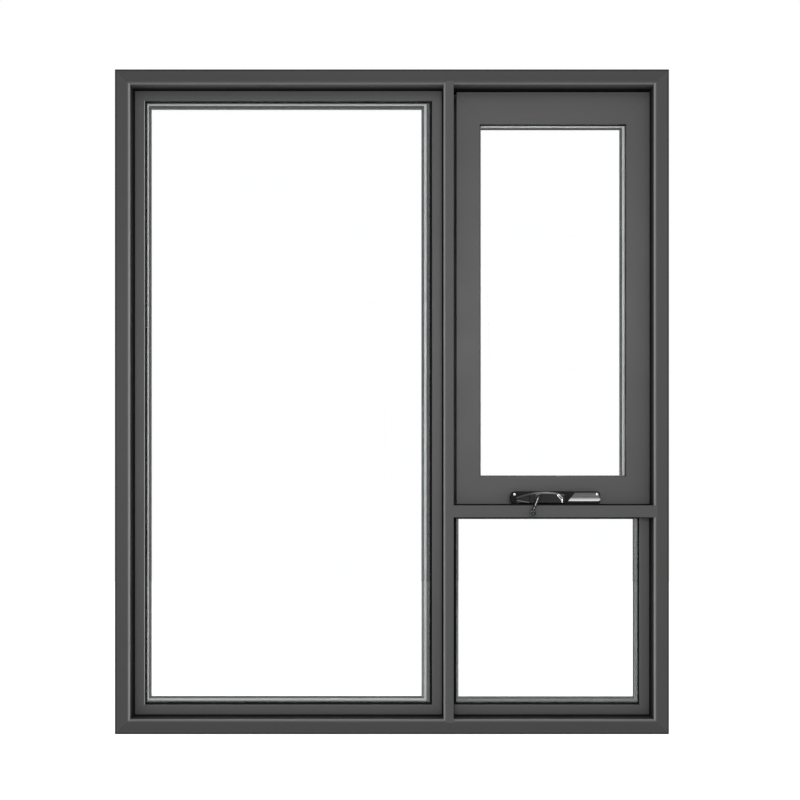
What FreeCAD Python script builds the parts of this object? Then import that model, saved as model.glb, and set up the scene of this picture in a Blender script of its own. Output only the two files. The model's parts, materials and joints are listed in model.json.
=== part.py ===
"""Three-light aluminium window with a top-hung sash and a chain winder, in millimetres.

X runs to the right as seen from the room, Y runs outwards and Z up. The origin is the centre of
the sill's underside, half way through the frame's depth.
"""
import FreeCAD, Part
import math
import os

V = FreeCAD.Vector
SAME_POINT = 1e-4          # points nearer than this are one point

# ---- Driving dimensions: outer frame ----
WINDOW_WIDTH = 1500.0
WINDOW_HEIGHT = 1800.0
FRAME_DEPTH = 100.0
FRAME_FACE = 39.5          # from the window's outer edge to the wall of the reveal
LIP_RADIUS = 8.5           # rounded room-side edge of the frame
WALL = 2.0                 # thickness of the extrusions
STEP_BACK = 20.0           # the part of the frame inside its outer leg ends this much sooner
OUTER_LEG = 23.5           # width of the frame's outer leg
FIXING_SPACING = 650.0
FIXING_RADIUS = 4.0
FIXING_Y = 12.0
DRAIN_LENGTH = 32.0
DRAIN_HEIGHT = 6.0
DRAIN_LOW = 5.0
DRAIN_SHARES = (0.2, 0.8)  # places along each light
MULLION_LEFT = 140.3
MULLION_WIDTH = 26.7
TRANSOM_BOTTOM = 587.2
TRANSOM_HEIGHT = 31.9
BAR_LEG = 12.8             # width of the outer leg of the mullion and the transom

# ---- Driving dimensions: glazing ----
GLAZING_SETBACK = 46.0     # from the frame's room face to the face of beads and sash
PANE = 5.0
CAVITY = 12.0
GASKET_THICKNESS = 3.0
BEAD_DEPTH = 7.0           # from a bead's face to its gasket
BEAD_FOOT = 6.0            # from a bead's face to its seat on the adaptor
ADAPTOR_SETBACK = 2.0
BEAD_GROOVE = 3.5          # open groove between the frame and a bead
BEAD_FACE = 26.5
BEAD_ROUND = 2.5
STOP_THICKNESS = 3.0
ADAPTOR_WALL = 2.0
SEAL_HEIGHT = 6.0          # sealant between a glass unit's edge and its spacer
BLOCK_LENGTH = 100.0

# ---- Driving dimensions: sash ----
SASH_GAP_MULLION = 10.4
SASH_GAP_JAMB = 2.0
SASH_GAP_HEAD = 6.2
SASH_GAP_TRANSOM = 2.9
STILE_FACE = 65.0
TOP_RAIL_FACE = 88.0
BOTTOM_RAIL_FACE = 77.0
FLANGE_THICKNESS = 3.0
FLANGE_GAP = 4.0           # from the frame's step to the sash's flange
FLANGE_SIDE = 14.0
FLANGE_MULLION = 20.0
FLANGE_TOP = 10.7
FLANGE_BOTTOM = 16.0

# ---- Driving dimensions: hook hinge along the head ----
HINGE_SETBACK = 10.0       # from the frame's outside face to the hinge's axis
HINGE_DROP = 29.5          # from the top of the window to the hinge's axis
HINGE_PIN_RADIUS = 2.5
HINGE_FIT = 0.08
HINGE_CURL = 2.0
HINGE_NECK = 1.8
HINGE_LENGTH = 510.0

# ---- Driving dimensions: winder ----
WINDER_LEFT = 322.8
WINDER_LENGTH = 244.2
WINDER_HEIGHT = 35.4
WINDER_DEPTH = 22.0        # housing beside its raised middle
WINDER_STAND = 10.0        # from the sash's face to the back of the housing
PART_GAP = 0.3             # between parts of the winder that only pass each other
WINDER_WALL = 2.0
WINDER_ROUND = 5.0
WINDER_END_LOW = 13.0
WINDER_END_HIGH = 16.0
WINDER_CORNER = 8.0
DOME_DEPTH = 8.5
DOME_LEFT = 60.0           # from the spindle to the ends of the raised middle
DOME_RIGHT = 76.0
DOME_MARGIN = 1.0
DOME_TIP = 15.0            # the arch starts this much lower on the left than at its top
DOME_SHOULDER = 8.0        # and ends this much lower on the right
DOME_PEAK = 0.64           # share of the arch's length that lies left of its top
DOME_BEVEL = 4.5
LEAF_IN = 20.0             # from the winder's left end to the tip of its thumb hollow
LEAF_LENGTH = 33.0
LEAF_LOW = 6.5             # lower edge of the hollow above the winder's underside
LEAF_HEIGHT = 17.0
LEAF_DEPTH = 3.0
LEAF_LIP = 2.4             # width of the hollow's sloping sides
COVER_IN = 153.2           # from the winder's left end to the foot of the cover's edge
COVER_LEAN = 22.0
COVER_SEAT = 1.5
COVER_RISE = 6.5
COVER_SWEEP = 0.2          # share of the cover's rise at half its height
COVER_FOOT = 6.8
COVER_TOP = 3.2
COVER_LIP = 6.0
COVER_END = 2.0
COVER_GAP = 0.5
SCREW_END_LEFT = 10.5
SCREW_END_RIGHT = 9.5
SCREW_UP = 27.6            # from the winder's underside
SCREW_RADIUS = 2.2
SCREW_HEAD = 3.6
SCREW_HEAD_HEIGHT = 1.8
SCREW_CROWN = 0.6
SCREW_FIT = 0.2
BRACKET_PLATE = 2.0
BRACKET_END = 4.0
GEAR_ROOM = 16.0
MAGAZINE_IN = 230.2        # from the winder's left end to the end of the chain's lane
MAGAZINE_TURN = 4.6
SPINDLE_IN = 73.2
SPINDLE_UP = 20.6
SPINDLE_RADIUS = 2.6
SPINDLE_FIT = 0.06
GEAR_OUT = 13.5            # from the winder's back to the crown gear's axis
STUD_RADIUS = 2.5
CROWN_TEETH = 24
CROWN_RADIUS = 13.0
CROWN_THICKNESS = 3.0
CROWN_TOOTH = 2.2
TOOTH_INSET = 0.1
TOOTH_ROOT = 0.5
MESH_GAP = 0.5             # between a tooth's tip and the root it runs into
TOOTH_WIDTH = 0.9
TOOTH_LENGTH = 2.5
PINION_TEETH = 8
PINION_TIP = 4.6
PINION_ROOT = 3.0
PINION_TOOTH = 1.1
SPROCKET_TEETH = 8
CHAIN_PITCH = 8.0
CHAIN_UP = 5.8
CHAIN_PLATE = 0.8
PLATE_GAP = 0.1
CHAIN_GAP = 2.8
CHAIN_WIDTH = 5.0
CHAIN_ROOM = 0.6
CHAIN_SLOT = 9.0
CHAIN_SLOT_HEIGHT = 8.4
PLATE_REACH = 2.4
PLATE_CORNER = 1.6
COG_WIDTH = 3.0
COG_THICKNESS = 2.2
COG_TIP = 1.2
TONGUE = 3.6
TONGUE_HEIGHT = 5.0
TONGUE_TAIL = 1.5
PIVOT_OUT = 4.4            # from the sash's face to the pin of the chain's last link
PIVOT_RADIUS = 1.2
EAR_GAP = 0.4
EAR_THICKNESS = 1.6
EAR_REACH = 2.8
EAR_PLATE = 30.0
EAR_PLATE_FOOT = 1.0
EAR_PLATE_HEIGHT = 25.0
KNOB_ACROSS = -17.0        # from the spindle to the knob, along the window
KNOB_DROP = 43.0
KNOB_RADIUS = 7.3
KNOB_REACH = 34.5          # from the front of the housing to the front of the knob
KNOB_ROUND = 2.0
KNOB_WAIST = 1.6
KNOB_FLATS = 20
KNOB_WALL = 3.0
KNOB_GAP = 0.5
STEM_RADIUS = 2.4
HUB_RADIUS = 9.0
HUB_ROUND = 2.5
HUB_GAP = 0.4
HUB_DEPTH = 12.0
HUB_SLOT_BACK = 5.0
HUB_SLOT_DEPTH = 6.5
HUB_PIN = 1.5
HUB_PIN_HALF = 7.0
ARM_WIDTH = 7.0
ARM_THICKNESS = 5.0
ARM_TIP = 5.0
ARM_GAP = 0.4
ARM_PROUD = 0.2
ARM_BEND = 30.0
LEVER_IN = 129.2
LEVER_UP = 24.6
LEVER_WIDTH = 7.0
LEVER_LENGTH = 14.0
LEVER_THICKNESS = 2.0
LEVER_SLOT = 2.4
LEVER_SLOT_END = 1.6
LEVER_ROUND = 3.2
LEVER_TAIL = 3.2
LEVER_DROP = 11.0
LEVER_PIN = 1.6
LEVER_PIN_HEAD = 1.0

# ---- Smaller dimensions ----
CLEAT_GAP = 0.3
CLEAT_LEG = 80.0
GLASS_POCKET = 20.0        # from the sash's sight line to the bottom of its glass pocket
NOSE = 6.0                 # width of the sash's stop where the gasket sits
BEAD_NOSE = 6.0
BEAD_WALL = 1.8
RIB = 4.0
RIB_THICKNESS = 1.5
POCKET_LIP = 4.0
POCKET_FRONT = 4.0         # width of the slim profile's room-side lip
POCKET_WALL = 1.5
GASKET_COVER = 6.0         # gasket hidden under a bead or on a stop
LOWER_SEAL = 2.0
# Widths from the wall of the opening, in the order left, bottom, right, top
LEFT_LIGHT = {"beads": ("left", "bottom", "right", "top"), "gasket": (37.0, 37.0, 37.0, 37.0),
              "edge": (18.0, 18.0, 18.0, 18.0), "spacer": (42.0, 44.0, 50.0, 45.0),
              "stop": (40.0, 44.0, 50.0, 44.0), "outer": (46.0, 50.0, 57.0, 50.0),
              "seal": SEAL_HEIGHT}
LOWER_LIGHT = {"beads": ("bottom", "right"), "gasket": (9.0, 34.0, 34.0, 6.0),
               "edge": (2.0, 18.0, 18.0, 2.0), "spacer": (10.0, 40.0, 39.0, 7.0),
               "stop": (7.5, 38.0, 38.0, 6.0), "outer": (13.5, 45.0, 43.5, 8.0),
               "seal": LOWER_SEAL}
SASH_COVER = (17.0, 14.0, 10.0, 10.0)     # glass behind the sight line of each sash member
SASH_GASKET_SIGHT = 2.0
SASH_SPACER_SIGHT = (0.0, 0.0, 9.0, 10.0)
OUTER_BEAD_SETBACK = 4.0   # from the frame's outside face to the sash's glazing beads
SEAL_MARGIN = 2.0
SEAL_WIDTH = 4.0
SEAL_CLEARANCE = 0.3
HINGE_PLATE = 1.6
HINGE_LEG = 14.0
CURL_ANGLES = (122.0, 408.0)   # start and end of the curl round the pin, leaving the neck's slot

# ---- Places worked out from them ----
ROOM_Y = -FRAME_DEPTH / 2
OUTSIDE_Y = FRAME_DEPTH / 2
STEP_Y = OUTSIDE_Y - STEP_BACK
HINGE_Y = OUTSIDE_Y - HINGE_SETBACK
OUTER_BEAD_Y = OUTSIDE_Y - OUTER_BEAD_SETBACK
FACE_Y = ROOM_Y + GLAZING_SETBACK
GASKET_Y = FACE_Y + BEAD_DEPTH
UNIT_Y = GASKET_Y + GASKET_THICKNESS
UNIT_BACK = UNIT_Y + 2 * PANE + CAVITY
STOP_Y = UNIT_BACK + GASKET_THICKNESS
FLANGE_Y = STEP_Y + FLANGE_GAP
BEAD_SEAT_Y = FACE_Y + BEAD_FOOT
MULLION_RIGHT = MULLION_LEFT + MULLION_WIDTH
TRANSOM_TOP = TRANSOM_BOTTOM + TRANSOM_HEIGHT
CHAIN_HEIGHT = CHAIN_GAP + 4 * CHAIN_PLATE + 2 * PLATE_GAP
WINDER_FLOOR = TRANSOM_TOP + BRACKET_PLATE + PART_GAP
WINDER_BACK = FACE_Y - WINDER_STAND
WINDER_FRONT = WINDER_BACK - WINDER_DEPTH
WINDER_RIGHT = WINDER_LEFT + WINDER_LENGTH
WINDER_TOP = WINDER_FLOOR + WINDER_HEIGHT
SCREW_Z = WINDER_FLOOR + SCREW_UP
COVER_LEFT = WINDER_LEFT + COVER_IN
MAGAZINE_END = WINDER_LEFT + MAGAZINE_IN
SPINDLE_X = WINDER_LEFT + SPINDLE_IN
SPINDLE_Z = WINDER_FLOOR + SPINDLE_UP
GEAR_Y = WINDER_BACK - GEAR_OUT
CHAIN_Z = WINDER_FLOOR + CHAIN_UP
PIVOT_Y = FACE_Y - PIVOT_OUT
LEVER_X = WINDER_LEFT + LEVER_IN
LEVER_Z = WINDER_FLOOR + LEVER_UP
KNOB_X = SPINDLE_X + KNOB_ACROSS
KNOB_Z = SPINDLE_Z - KNOB_DROP
DOME_FRONT = WINDER_FRONT - DOME_DEPTH
KNOB_FRONT = DOME_FRONT - KNOB_REACH
SPROCKET_RADIUS = CHAIN_PITCH / 2 / math.sin(math.pi / SPROCKET_TEETH)
SPROCKET_ROOT = SPROCKET_RADIUS * math.cos(math.pi / SPROCKET_TEETH) - PLATE_REACH - MESH_GAP
SPROCKET_TIP = SPROCKET_RADIUS + COG_TIP
SPROCKET_BASE = TRANSOM_TOP + BRACKET_PLATE + PART_GAP
CROWN_TIP = SPINDLE_Z - PINION_ROOT - MESH_GAP
CROWN_BASE = CROWN_TIP - CROWN_TOOTH - CROWN_THICKNESS
LANE_START = SPINDLE_X + GEAR_ROOM + 2 * CHAIN_WIDTH
CHAIN_X = SPINDLE_X - SPROCKET_RADIUS
HUB_BACK = DOME_FRONT - HUB_GAP
HUB_FRONT = HUB_BACK - HUB_DEPTH
PINION_FRONT = GEAR_Y - CROWN_RADIUS + TOOTH_INSET
PINION_BACK = PINION_FRONT + TOOTH_LENGTH
FOLD_Y = HUB_FRONT + HUB_SLOT_DEPTH / 2 - ARM_PROUD
ARM_FRONT = FOLD_Y - ARM_THICKNESS / 2
ARM_BACK = FOLD_Y + ARM_THICKNESS / 2
LEVER_BACK = DOME_FRONT - PART_GAP
HALF_WIDTH = WINDOW_WIDTH / 2
HINGE_Z = WINDOW_HEIGHT - HINGE_DROP
FRAME_RECT = (-HALF_WIDTH, 0.0, HALF_WIDTH, WINDOW_HEIGHT)
JAMB_X = HALF_WIDTH - FRAME_FACE
HEAD_Z = WINDOW_HEIGHT - FRAME_FACE
LEFT_OPENING = (-JAMB_X, FRAME_FACE, MULLION_LEFT, HEAD_Z)
LOWER_OPENING = (MULLION_RIGHT, FRAME_FACE, JAMB_X, TRANSOM_BOTTOM)
SASH_RECT = (MULLION_RIGHT + SASH_GAP_MULLION, TRANSOM_TOP + SASH_GAP_TRANSOM,
             JAMB_X - SASH_GAP_JAMB, HEAD_Z - SASH_GAP_HEAD)
SASH_FACES = (STILE_FACE, BOTTOM_RAIL_FACE, STILE_FACE, TOP_RAIL_FACE)

SIDES = ("left", "bottom", "right", "top")
NODES = {}


def keep(name, *solids):
    """Files the solids as one node."""
    NODES[name] = solids[0] if len(solids) == 1 else Part.makeCompound(list(solids))


# ---- Geometry helpers ----
def wire(points, place):
    """A closed wire through 2-D points (a, b) or (a, b, corner radius), put in space by place."""
    count = len(points)
    corners = []
    for i, point in enumerate(points):
        radius = point[2] if len(point) > 2 else 0.0
        here = V(point[0], point[1], 0)
        if not radius:
            corners.append((here, None, here))
            continue
        before = points[i - 1]
        after = points[(i + 1) % count]
        back = (V(before[0], before[1], 0) - here).normalize()
        forth = (V(after[0], after[1], 0) - here).normalize()
        half = back.getAngle(forth) / 2
        reach = radius / math.tan(half)
        middle = here + (back + forth).normalize() * (radius / math.sin(half) - radius)
        corners.append((here + back * reach, middle, here + forth * reach))
    outline = []
    for i, (start, middle, end) in enumerate(corners):
        if middle is not None:
            arc = Part.Arc(*[place(p.x, p.y) for p in (start, middle, end)])
            outline.append(arc.toShape())
        following = corners[(i + 1) % count][0]
        if (end - following).Length > SAME_POINT:
            outline.append(Part.makeLine(place(end.x, end.y), place(following.x, following.y)))
    return Part.Wire(Part.__sortEdges__(outline))


def prism(points, place, sweep, holes=()):
    """A straight solid: a 2-D outline with its holes, put in space by place and swept."""
    wires = [wire(points, place)] + [wire(hole, place) for hole in holes]
    return Part.makeFace(wires, "Part::FaceMakerBullseye").extrude(sweep)


def block(x0, y0, z0, x1, y1, z1):
    """A box between two corners."""
    return Part.makeBox(x1 - x0, y1 - y0, z1 - z0, V(x0, y0, z0))


def in_xz(y):
    """Puts 2-D points in the plane of the window at depth y."""
    return lambda a, b: V(a, y, b)


def ring(outer, inner, y0, y1):
    """A rectangular ring in the plane of the window between depths y0 and y1."""
    a = block(outer[0], y0, outer[1], outer[2], y1, outer[3])
    return a.cut(block(inner[0], y0 - 1, inner[1], inner[2], y1 + 1, inner[3]))


def inset(rect, by):
    """The rectangle drawn in by one width, or by a width for each of its sides."""
    left, bottom, right, top = (by,) * 4 if isinstance(by, (int, float)) else by
    return (rect[0] + left, rect[1] + bottom, rect[2] - right, rect[3] - top)


def side_axes(rect, side):
    """A side's starting corner, its inward direction, its run and its length."""
    x0, z0, x1, z1 = rect
    if side == "bottom":
        return V(x0, 0, z0), V(0, 0, 1), V(1, 0, 0), x1 - x0
    if side == "top":
        return V(x0, 0, z1), V(0, 0, -1), V(1, 0, 0), x1 - x0
    if side == "left":
        return V(x0, 0, z0), V(1, 0, 0), V(0, 0, 1), z1 - z0
    return V(x1, 0, z0), V(-1, 0, 0), V(0, 0, 1), z1 - z0


def mitre_zone(rect, inner, side, reach):
    """The part of space that a mitred side may fill: outwards by reach, inwards to inner."""
    x0, z0, x1, z1 = rect
    a0, b0, a1, b1 = inner
    far = [(x0 - reach, z0 - reach), (x1 + reach, z0 - reach),
           (x1 + reach, z1 + reach), (x0 - reach, z1 + reach)]
    corner = [(x0, z0), (x1, z0), (x1, z1), (x0, z1)]
    near = [(a0, b0), (a1, b0), (a1, b1), (a0, b1)]
    i, j = {"bottom": (0, 1), "right": (1, 2), "top": (2, 3), "left": (3, 0)}[side]
    points = [far[i], far[j], corner[j], near[j], near[i], corner[i]]
    depth = V(0, 4 * FRAME_DEPTH, 0)
    return prism(points, in_xz(-2 * FRAME_DEPTH), depth)


def member(rect, side, outline, holes=(), inner=None, reach=40.0):
    """An extrusion along one side of rect, its outline in (distance inwards, depth)."""
    start, inward, run, length = side_axes(rect, side)
    start = start - run * reach
    solid = prism(outline, lambda u, y: start + inward * u + V(0, y, 0),
                  run * (length + 2 * reach), holes)
    if inner is None:
        inner = inset(rect, max(point[0] for point in outline) + 1)
    return solid.common(mitre_zone(rect, inner, side, reach))


# ---- Outer frame ----
def frame_outline():
    return [(0, ROOM_Y), (FRAME_FACE, ROOM_Y, LIP_RADIUS), (FRAME_FACE, STEP_Y),
            (OUTER_LEG, STEP_Y), (OUTER_LEG, OUTSIDE_Y), (0, OUTSIDE_Y)]


def frame_chambers():
    front = [(WALL, ROOM_Y + WALL), (FRAME_FACE - WALL, ROOM_Y + WALL, LIP_RADIUS - WALL),
             (FRAME_FACE - WALL, STEP_Y - WALL), (WALL, STEP_Y - WALL)]
    back = [(WALL, STEP_Y), (OUTER_LEG - WALL, STEP_Y), (OUTER_LEG - WALL, OUTSIDE_Y - WALL),
            (WALL, OUTSIDE_Y - WALL)]
    return [front, back]


def outer_frame():
    names = {"left": "frame_jamb_left", "right": "frame_jamb_right",
             "top": "frame_head", "bottom": "frame_sill"}
    for side, name in names.items():
        solid = member(FRAME_RECT, side, frame_outline(), frame_chambers())
        if side == "bottom":
            solid = solid.cut(drain_slots())
        elif side != "top":
            solid = solid.cut(fixing_holes(-1 if side == "left" else 1))
        keep(name, solid)


def fixing_holes(way):
    """The holes through a jamb for the screws that fix the window in the wall."""
    x = way * (HALF_WIDTH + 1)
    middle = WINDOW_HEIGHT / 2
    return [Part.makeCylinder(FIXING_RADIUS, FRAME_FACE + 2,
                              V(x, FIXING_Y, middle + step * FIXING_SPACING), V(-way, 0, 0))
            for step in (-1, 0, 1)]


def drain_slots():
    """The slots through the outside of the sill that let water out, two under each light."""
    slots = []
    for opening in (LEFT_OPENING, LOWER_OPENING):
        for share in DRAIN_SHARES:
            x = opening[0] + share * (opening[2] - opening[0])
            slots.append(block(x - DRAIN_LENGTH / 2, OUTSIDE_Y - 2 * WALL, DRAIN_LOW,
                               x + DRAIN_LENGTH / 2, OUTSIDE_Y + WALL, DRAIN_LOW + DRAIN_HEIGHT))
    return slots


def frame_filled():
    """The four frame members with no chambers, to cope the bars' ends against."""
    solids = [member(FRAME_RECT, side, frame_outline()) for side in SIDES]
    return solids[0].multiFuse(solids[1:])


def bar_section(start, width, lip):
    """Outline and chambers of the mullion or the transom, in (distance across, depth)."""
    end = start + width
    first = (start, ROOM_Y, LIP_RADIUS) if lip else (start, ROOM_Y)
    outline = [first, (end, ROOM_Y), (end, STEP_Y), (start + BAR_LEG, STEP_Y),
               (start + BAR_LEG, OUTSIDE_Y), (start, OUTSIDE_Y)]
    inner_first = (start + WALL, ROOM_Y + WALL) + ((LIP_RADIUS - WALL,) if lip else ())
    front = [inner_first, (end - WALL, ROOM_Y + WALL), (end - WALL, STEP_Y - WALL),
             (start + WALL, STEP_Y - WALL)]
    back = [(start + WALL, STEP_Y), (start + BAR_LEG - WALL, STEP_Y),
            (start + BAR_LEG - WALL, OUTSIDE_Y - WALL), (start + WALL, OUTSIDE_Y - WALL)]
    return outline, [front, back]


def bars():
    """The mullion from sill to head, and the transom from the mullion to the right jamb."""
    filled = frame_filled()
    outline, chambers = bar_section(MULLION_LEFT, MULLION_WIDTH, True)
    low = FRAME_FACE - LIP_RADIUS
    mullion = prism(outline, lambda x, y: V(x, y, low), V(0, 0, WINDOW_HEIGHT - 2 * low), chambers)
    keep("mullion", mullion.cut(filled))
    outline, chambers = bar_section(TRANSOM_BOTTOM, TRANSOM_HEIGHT, False)
    transom = prism(outline, lambda z, y: V(MULLION_RIGHT, y, z),
                    V(JAMB_X + LIP_RADIUS - MULLION_RIGHT, 0, 0), chambers)
    keep("transom", transom.cut(filled))


def cleats():
    """Cast corner pieces pressed into the front chambers, across each mitre of frame and sash."""
    low = WALL + CLEAT_GAP
    high = FRAME_FACE - WALL - CLEAT_GAP
    keep("frame_cleats", *corner_pieces(FRAME_RECT, low, high, ROOM_Y + LIP_RADIUS + WALL,
                                        STEP_Y - WALL - CLEAT_GAP))
    high = STILE_FACE - GLASS_POCKET - WALL - CLEAT_GAP
    keep("sash_cleats", *corner_pieces(SASH_RECT, low, high, FACE_Y + WALL + CLEAT_GAP,
                                       FLANGE_Y - CLEAT_GAP))


def corner_pieces(rect, low, high, y0, y1):
    """Four L-shaped pieces, one in each corner of rect."""
    x0, z0, x1, z1 = rect
    solids = []
    for x, across in ((x0, 1), (x1, -1)):
        for z, up in ((z0, 1), (z1, -1)):
            points = [(low, low), (CLEAT_LEG, low), (CLEAT_LEG, high), (high, high),
                      (high, CLEAT_LEG), (low, CLEAT_LEG)]
            solids.append(prism(points, lambda a, b: V(x + across * a, y0, z + up * b),
                                V(0, y1 - y0, 0)))
    return solids


# ---- Glazing ----
def adaptor_outline(stop):
    """The profile that turns a frame side into a glazing rebate, with a rib for the bead."""
    front = FACE_Y + ADAPTOR_SETBACK
    return [(0, front), (ADAPTOR_WALL, front), (ADAPTOR_WALL, BEAD_SEAT_Y),
            (ADAPTOR_WALL + RIB, BEAD_SEAT_Y), (ADAPTOR_WALL + RIB, BEAD_SEAT_Y + RIB_THICKNESS),
            (ADAPTOR_WALL, BEAD_SEAT_Y + RIB_THICKNESS), (ADAPTOR_WALL, STOP_Y),
            (stop, STOP_Y), (stop, STOP_Y + STOP_THICKNESS), (0, STOP_Y + STOP_THICKNESS)]


def pocket_outline(stop):
    """The slim profile beside the mullion or under the transom, where no bead is needed."""
    return [(0, GASKET_Y - POCKET_LIP), (POCKET_FRONT, GASKET_Y - POCKET_LIP),
            (POCKET_FRONT, GASKET_Y), (POCKET_WALL, GASKET_Y), (POCKET_WALL, STOP_Y),
            (stop, STOP_Y), (stop, STOP_Y + STOP_THICKNESS), (0, STOP_Y + STOP_THICKNESS)]


def bead_outline():
    """A snap-in bead: a rounded face, a foot on the adaptor's rib and a nose on the gasket."""
    first = BEAD_GROOVE
    last = BEAD_GROOVE + BEAD_FACE
    return [(first, FACE_Y), (last, FACE_Y, BEAD_ROUND), (last, GASKET_Y),
            (last - BEAD_NOSE, GASKET_Y), (last - BEAD_NOSE, FACE_Y + BEAD_WALL),
            (first + BEAD_WALL, FACE_Y + BEAD_WALL), (first + BEAD_WALL, BEAD_SEAT_Y),
            (first, BEAD_SEAT_Y)]


def glass_unit(name, outer, spacer_sight, seal=SEAL_HEIGHT):
    """Two panes, the spacer frame between them and the sealant round the spacer."""
    seal_inner = inset(outer, seal)
    first_back = UNIT_Y + PANE
    second_front = first_back + CAVITY
    keep(name + "_pane_inner", block(outer[0], UNIT_Y, outer[1], outer[2], first_back, outer[3]))
    keep(name + "_pane_outer",
         block(outer[0], second_front, outer[1], outer[2], UNIT_BACK, outer[3]))
    keep(name + "_edge_seal", ring(outer, seal_inner, first_back, second_front))
    keep(name + "_spacer", ring(seal_inner, spacer_sight, first_back, second_front))


def fixed_light(name, opening, light):
    """A fixed light: adaptors, beads, gaskets and the glass unit between them."""
    beads = light["beads"]
    stop_inner = inset(opening, light["stop"])
    adaptors = []
    for side, stop in zip(SIDES, light["stop"]):
        outline = adaptor_outline(stop) if side in beads else pocket_outline(stop)
        adaptors.append(member(opening, side, outline, inner=stop_inner))
    keep(name + "_adaptors", *adaptors)
    depth = BEAD_GROOVE + BEAD_FACE
    face = inset(opening, [depth if side in beads else POCKET_FRONT for side in SIDES])
    for side in beads:
        bead = member(opening, side, bead_outline(), inner=inset(opening, depth))
        if len(beads) < 4:
            bead = lower_bead(opening, side)
        keep(name + "_bead_" + side, bead)
    outer = inset(opening, light["edge"])
    gasket_outer = inset(face, [-GASKET_COVER if side in beads else -POCKET_FRONT + POCKET_WALL
                                for side in SIDES])
    keep(name + "_gasket_inner",
         ring(gasket_outer, inset(opening, light["gasket"]), GASKET_Y, UNIT_Y))
    keep(name + "_gasket_outer",
         ring(inset(stop_inner, [-GASKET_COVER if side in beads else POCKET_WALL - stop
                                 for side, stop in zip(SIDES, light["stop"])]),
              inset(opening, light["outer"]), UNIT_BACK, STOP_Y))
    glass_unit(name, outer, inset(opening, light["spacer"]), light["seal"])


def lower_bead(opening, side):
    """A bead of the lower light: mitred at the corner of jamb and sill, square at the other."""
    depth = BEAD_GROOVE + BEAD_FACE
    x0, z0, x1, z1 = opening
    widened = (x0 - depth, z0, x1, z1 + depth)
    bead = member(widened, side, bead_outline(), inner=inset(widened, depth))
    return bead.common(block(x0 + POCKET_FRONT, ROOM_Y, z0, x1, OUTSIDE_Y, z1 - POCKET_FRONT))


def setting_blocks():
    """Blocks at the quarter points under each glass unit."""
    solids = []
    for opening, floor, edge in (
            (LEFT_OPENING, ADAPTOR_WALL, LEFT_LIGHT["edge"][1]),
            (LOWER_OPENING, ADAPTOR_WALL, LOWER_LIGHT["edge"][1])):
        solids += blocks_under(opening, floor, edge)
    keep("fixed_setting_blocks", *solids)
    floor = BOTTOM_RAIL_FACE - GLASS_POCKET
    keep("sash_setting_blocks", *blocks_under(SASH_RECT, floor, BOTTOM_RAIL_FACE - SASH_COVER[1]))


def blocks_under(opening, floor, edge):
    """Two blocks between the bottom of a rebate and the edge of a glass unit."""
    width = opening[2] - opening[0]
    return [block(opening[0] + width * share - BLOCK_LENGTH / 2, UNIT_Y + 1, opening[1] + floor,
                  opening[0] + width * share + BLOCK_LENGTH / 2, UNIT_BACK - 1, opening[1] + edge)
            for share in (0.25, 0.75)]


# ---- Sash ----
def sash_outline(face, flange):
    """A sash member: a hollow box, the stop that the glass rests on and the outer flange."""
    pocket = face - GLASS_POCKET
    back = FLANGE_Y + FLANGE_THICKNESS
    return [(0, FACE_Y), (face, FACE_Y, BEAD_ROUND), (face, GASKET_Y), (face - NOSE, GASKET_Y),
            (face - NOSE, FACE_Y + STOP_THICKNESS), (pocket, FACE_Y + STOP_THICKNESS),
            (pocket, back), (-flange, back), (-flange, FLANGE_Y), (0, FLANGE_Y)]


def sash_chamber(face):
    inner = face - GLASS_POCKET - WALL
    return [(WALL, FACE_Y + WALL), (inner, FACE_Y + WALL), (inner, FLANGE_Y), (WALL, FLANGE_Y)]


def sash():
    """The four sash members, their glass, gaskets, outer beads and weather seal."""
    names = ("sash_stile_left", "sash_rail_bottom", "sash_stile_right", "sash_rail_top")
    flanges = (FLANGE_MULLION, FLANGE_BOTTOM, FLANGE_SIDE, FLANGE_TOP)
    sight = inset(SASH_RECT, SASH_FACES)
    for side, name, face, flange in zip(SIDES, names, SASH_FACES, flanges):
        solid = member(SASH_RECT, side, sash_outline(face, flange), [sash_chamber(face)],
                       inner=sight)
        keep(name, solid.common(block(*bounds_with_flanges(flanges))))
    cover = [face - edge for face, edge in zip(SASH_FACES, SASH_COVER)]
    outer = inset(SASH_RECT, cover)
    keep("sash_gasket_inner", ring(inset(sight, -NOSE), inset(sight, SASH_GASKET_SIGHT),
                                   GASKET_Y, UNIT_Y))
    glass_unit("sash", outer, inset(sight, SASH_SPACER_SIGHT))
    keep("sash_gasket_outer", ring(inset(sight, -NOSE), inset(sight, SASH_GASKET_SIGHT),
                                   UNIT_BACK, STOP_Y))
    pocket = inset(sight, -GLASS_POCKET)
    bead = [(0, STOP_Y), (GLASS_POCKET, STOP_Y), (GLASS_POCKET, OUTER_BEAD_Y, BEAD_ROUND),
            (0, OUTER_BEAD_Y)]
    keep("sash_outer_beads", *[member(pocket, side, bead, inner=sight) for side in SIDES])


def bounds_with_flanges(flanges):
    """The two corners of the box that holds the sash with its flanges."""
    left, bottom, right, top = flanges
    x0, z0, x1, z1 = SASH_RECT
    return x0 - left, ROOM_Y, z0 - bottom, x1 + right, OUTSIDE_Y, z1 + top


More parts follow.
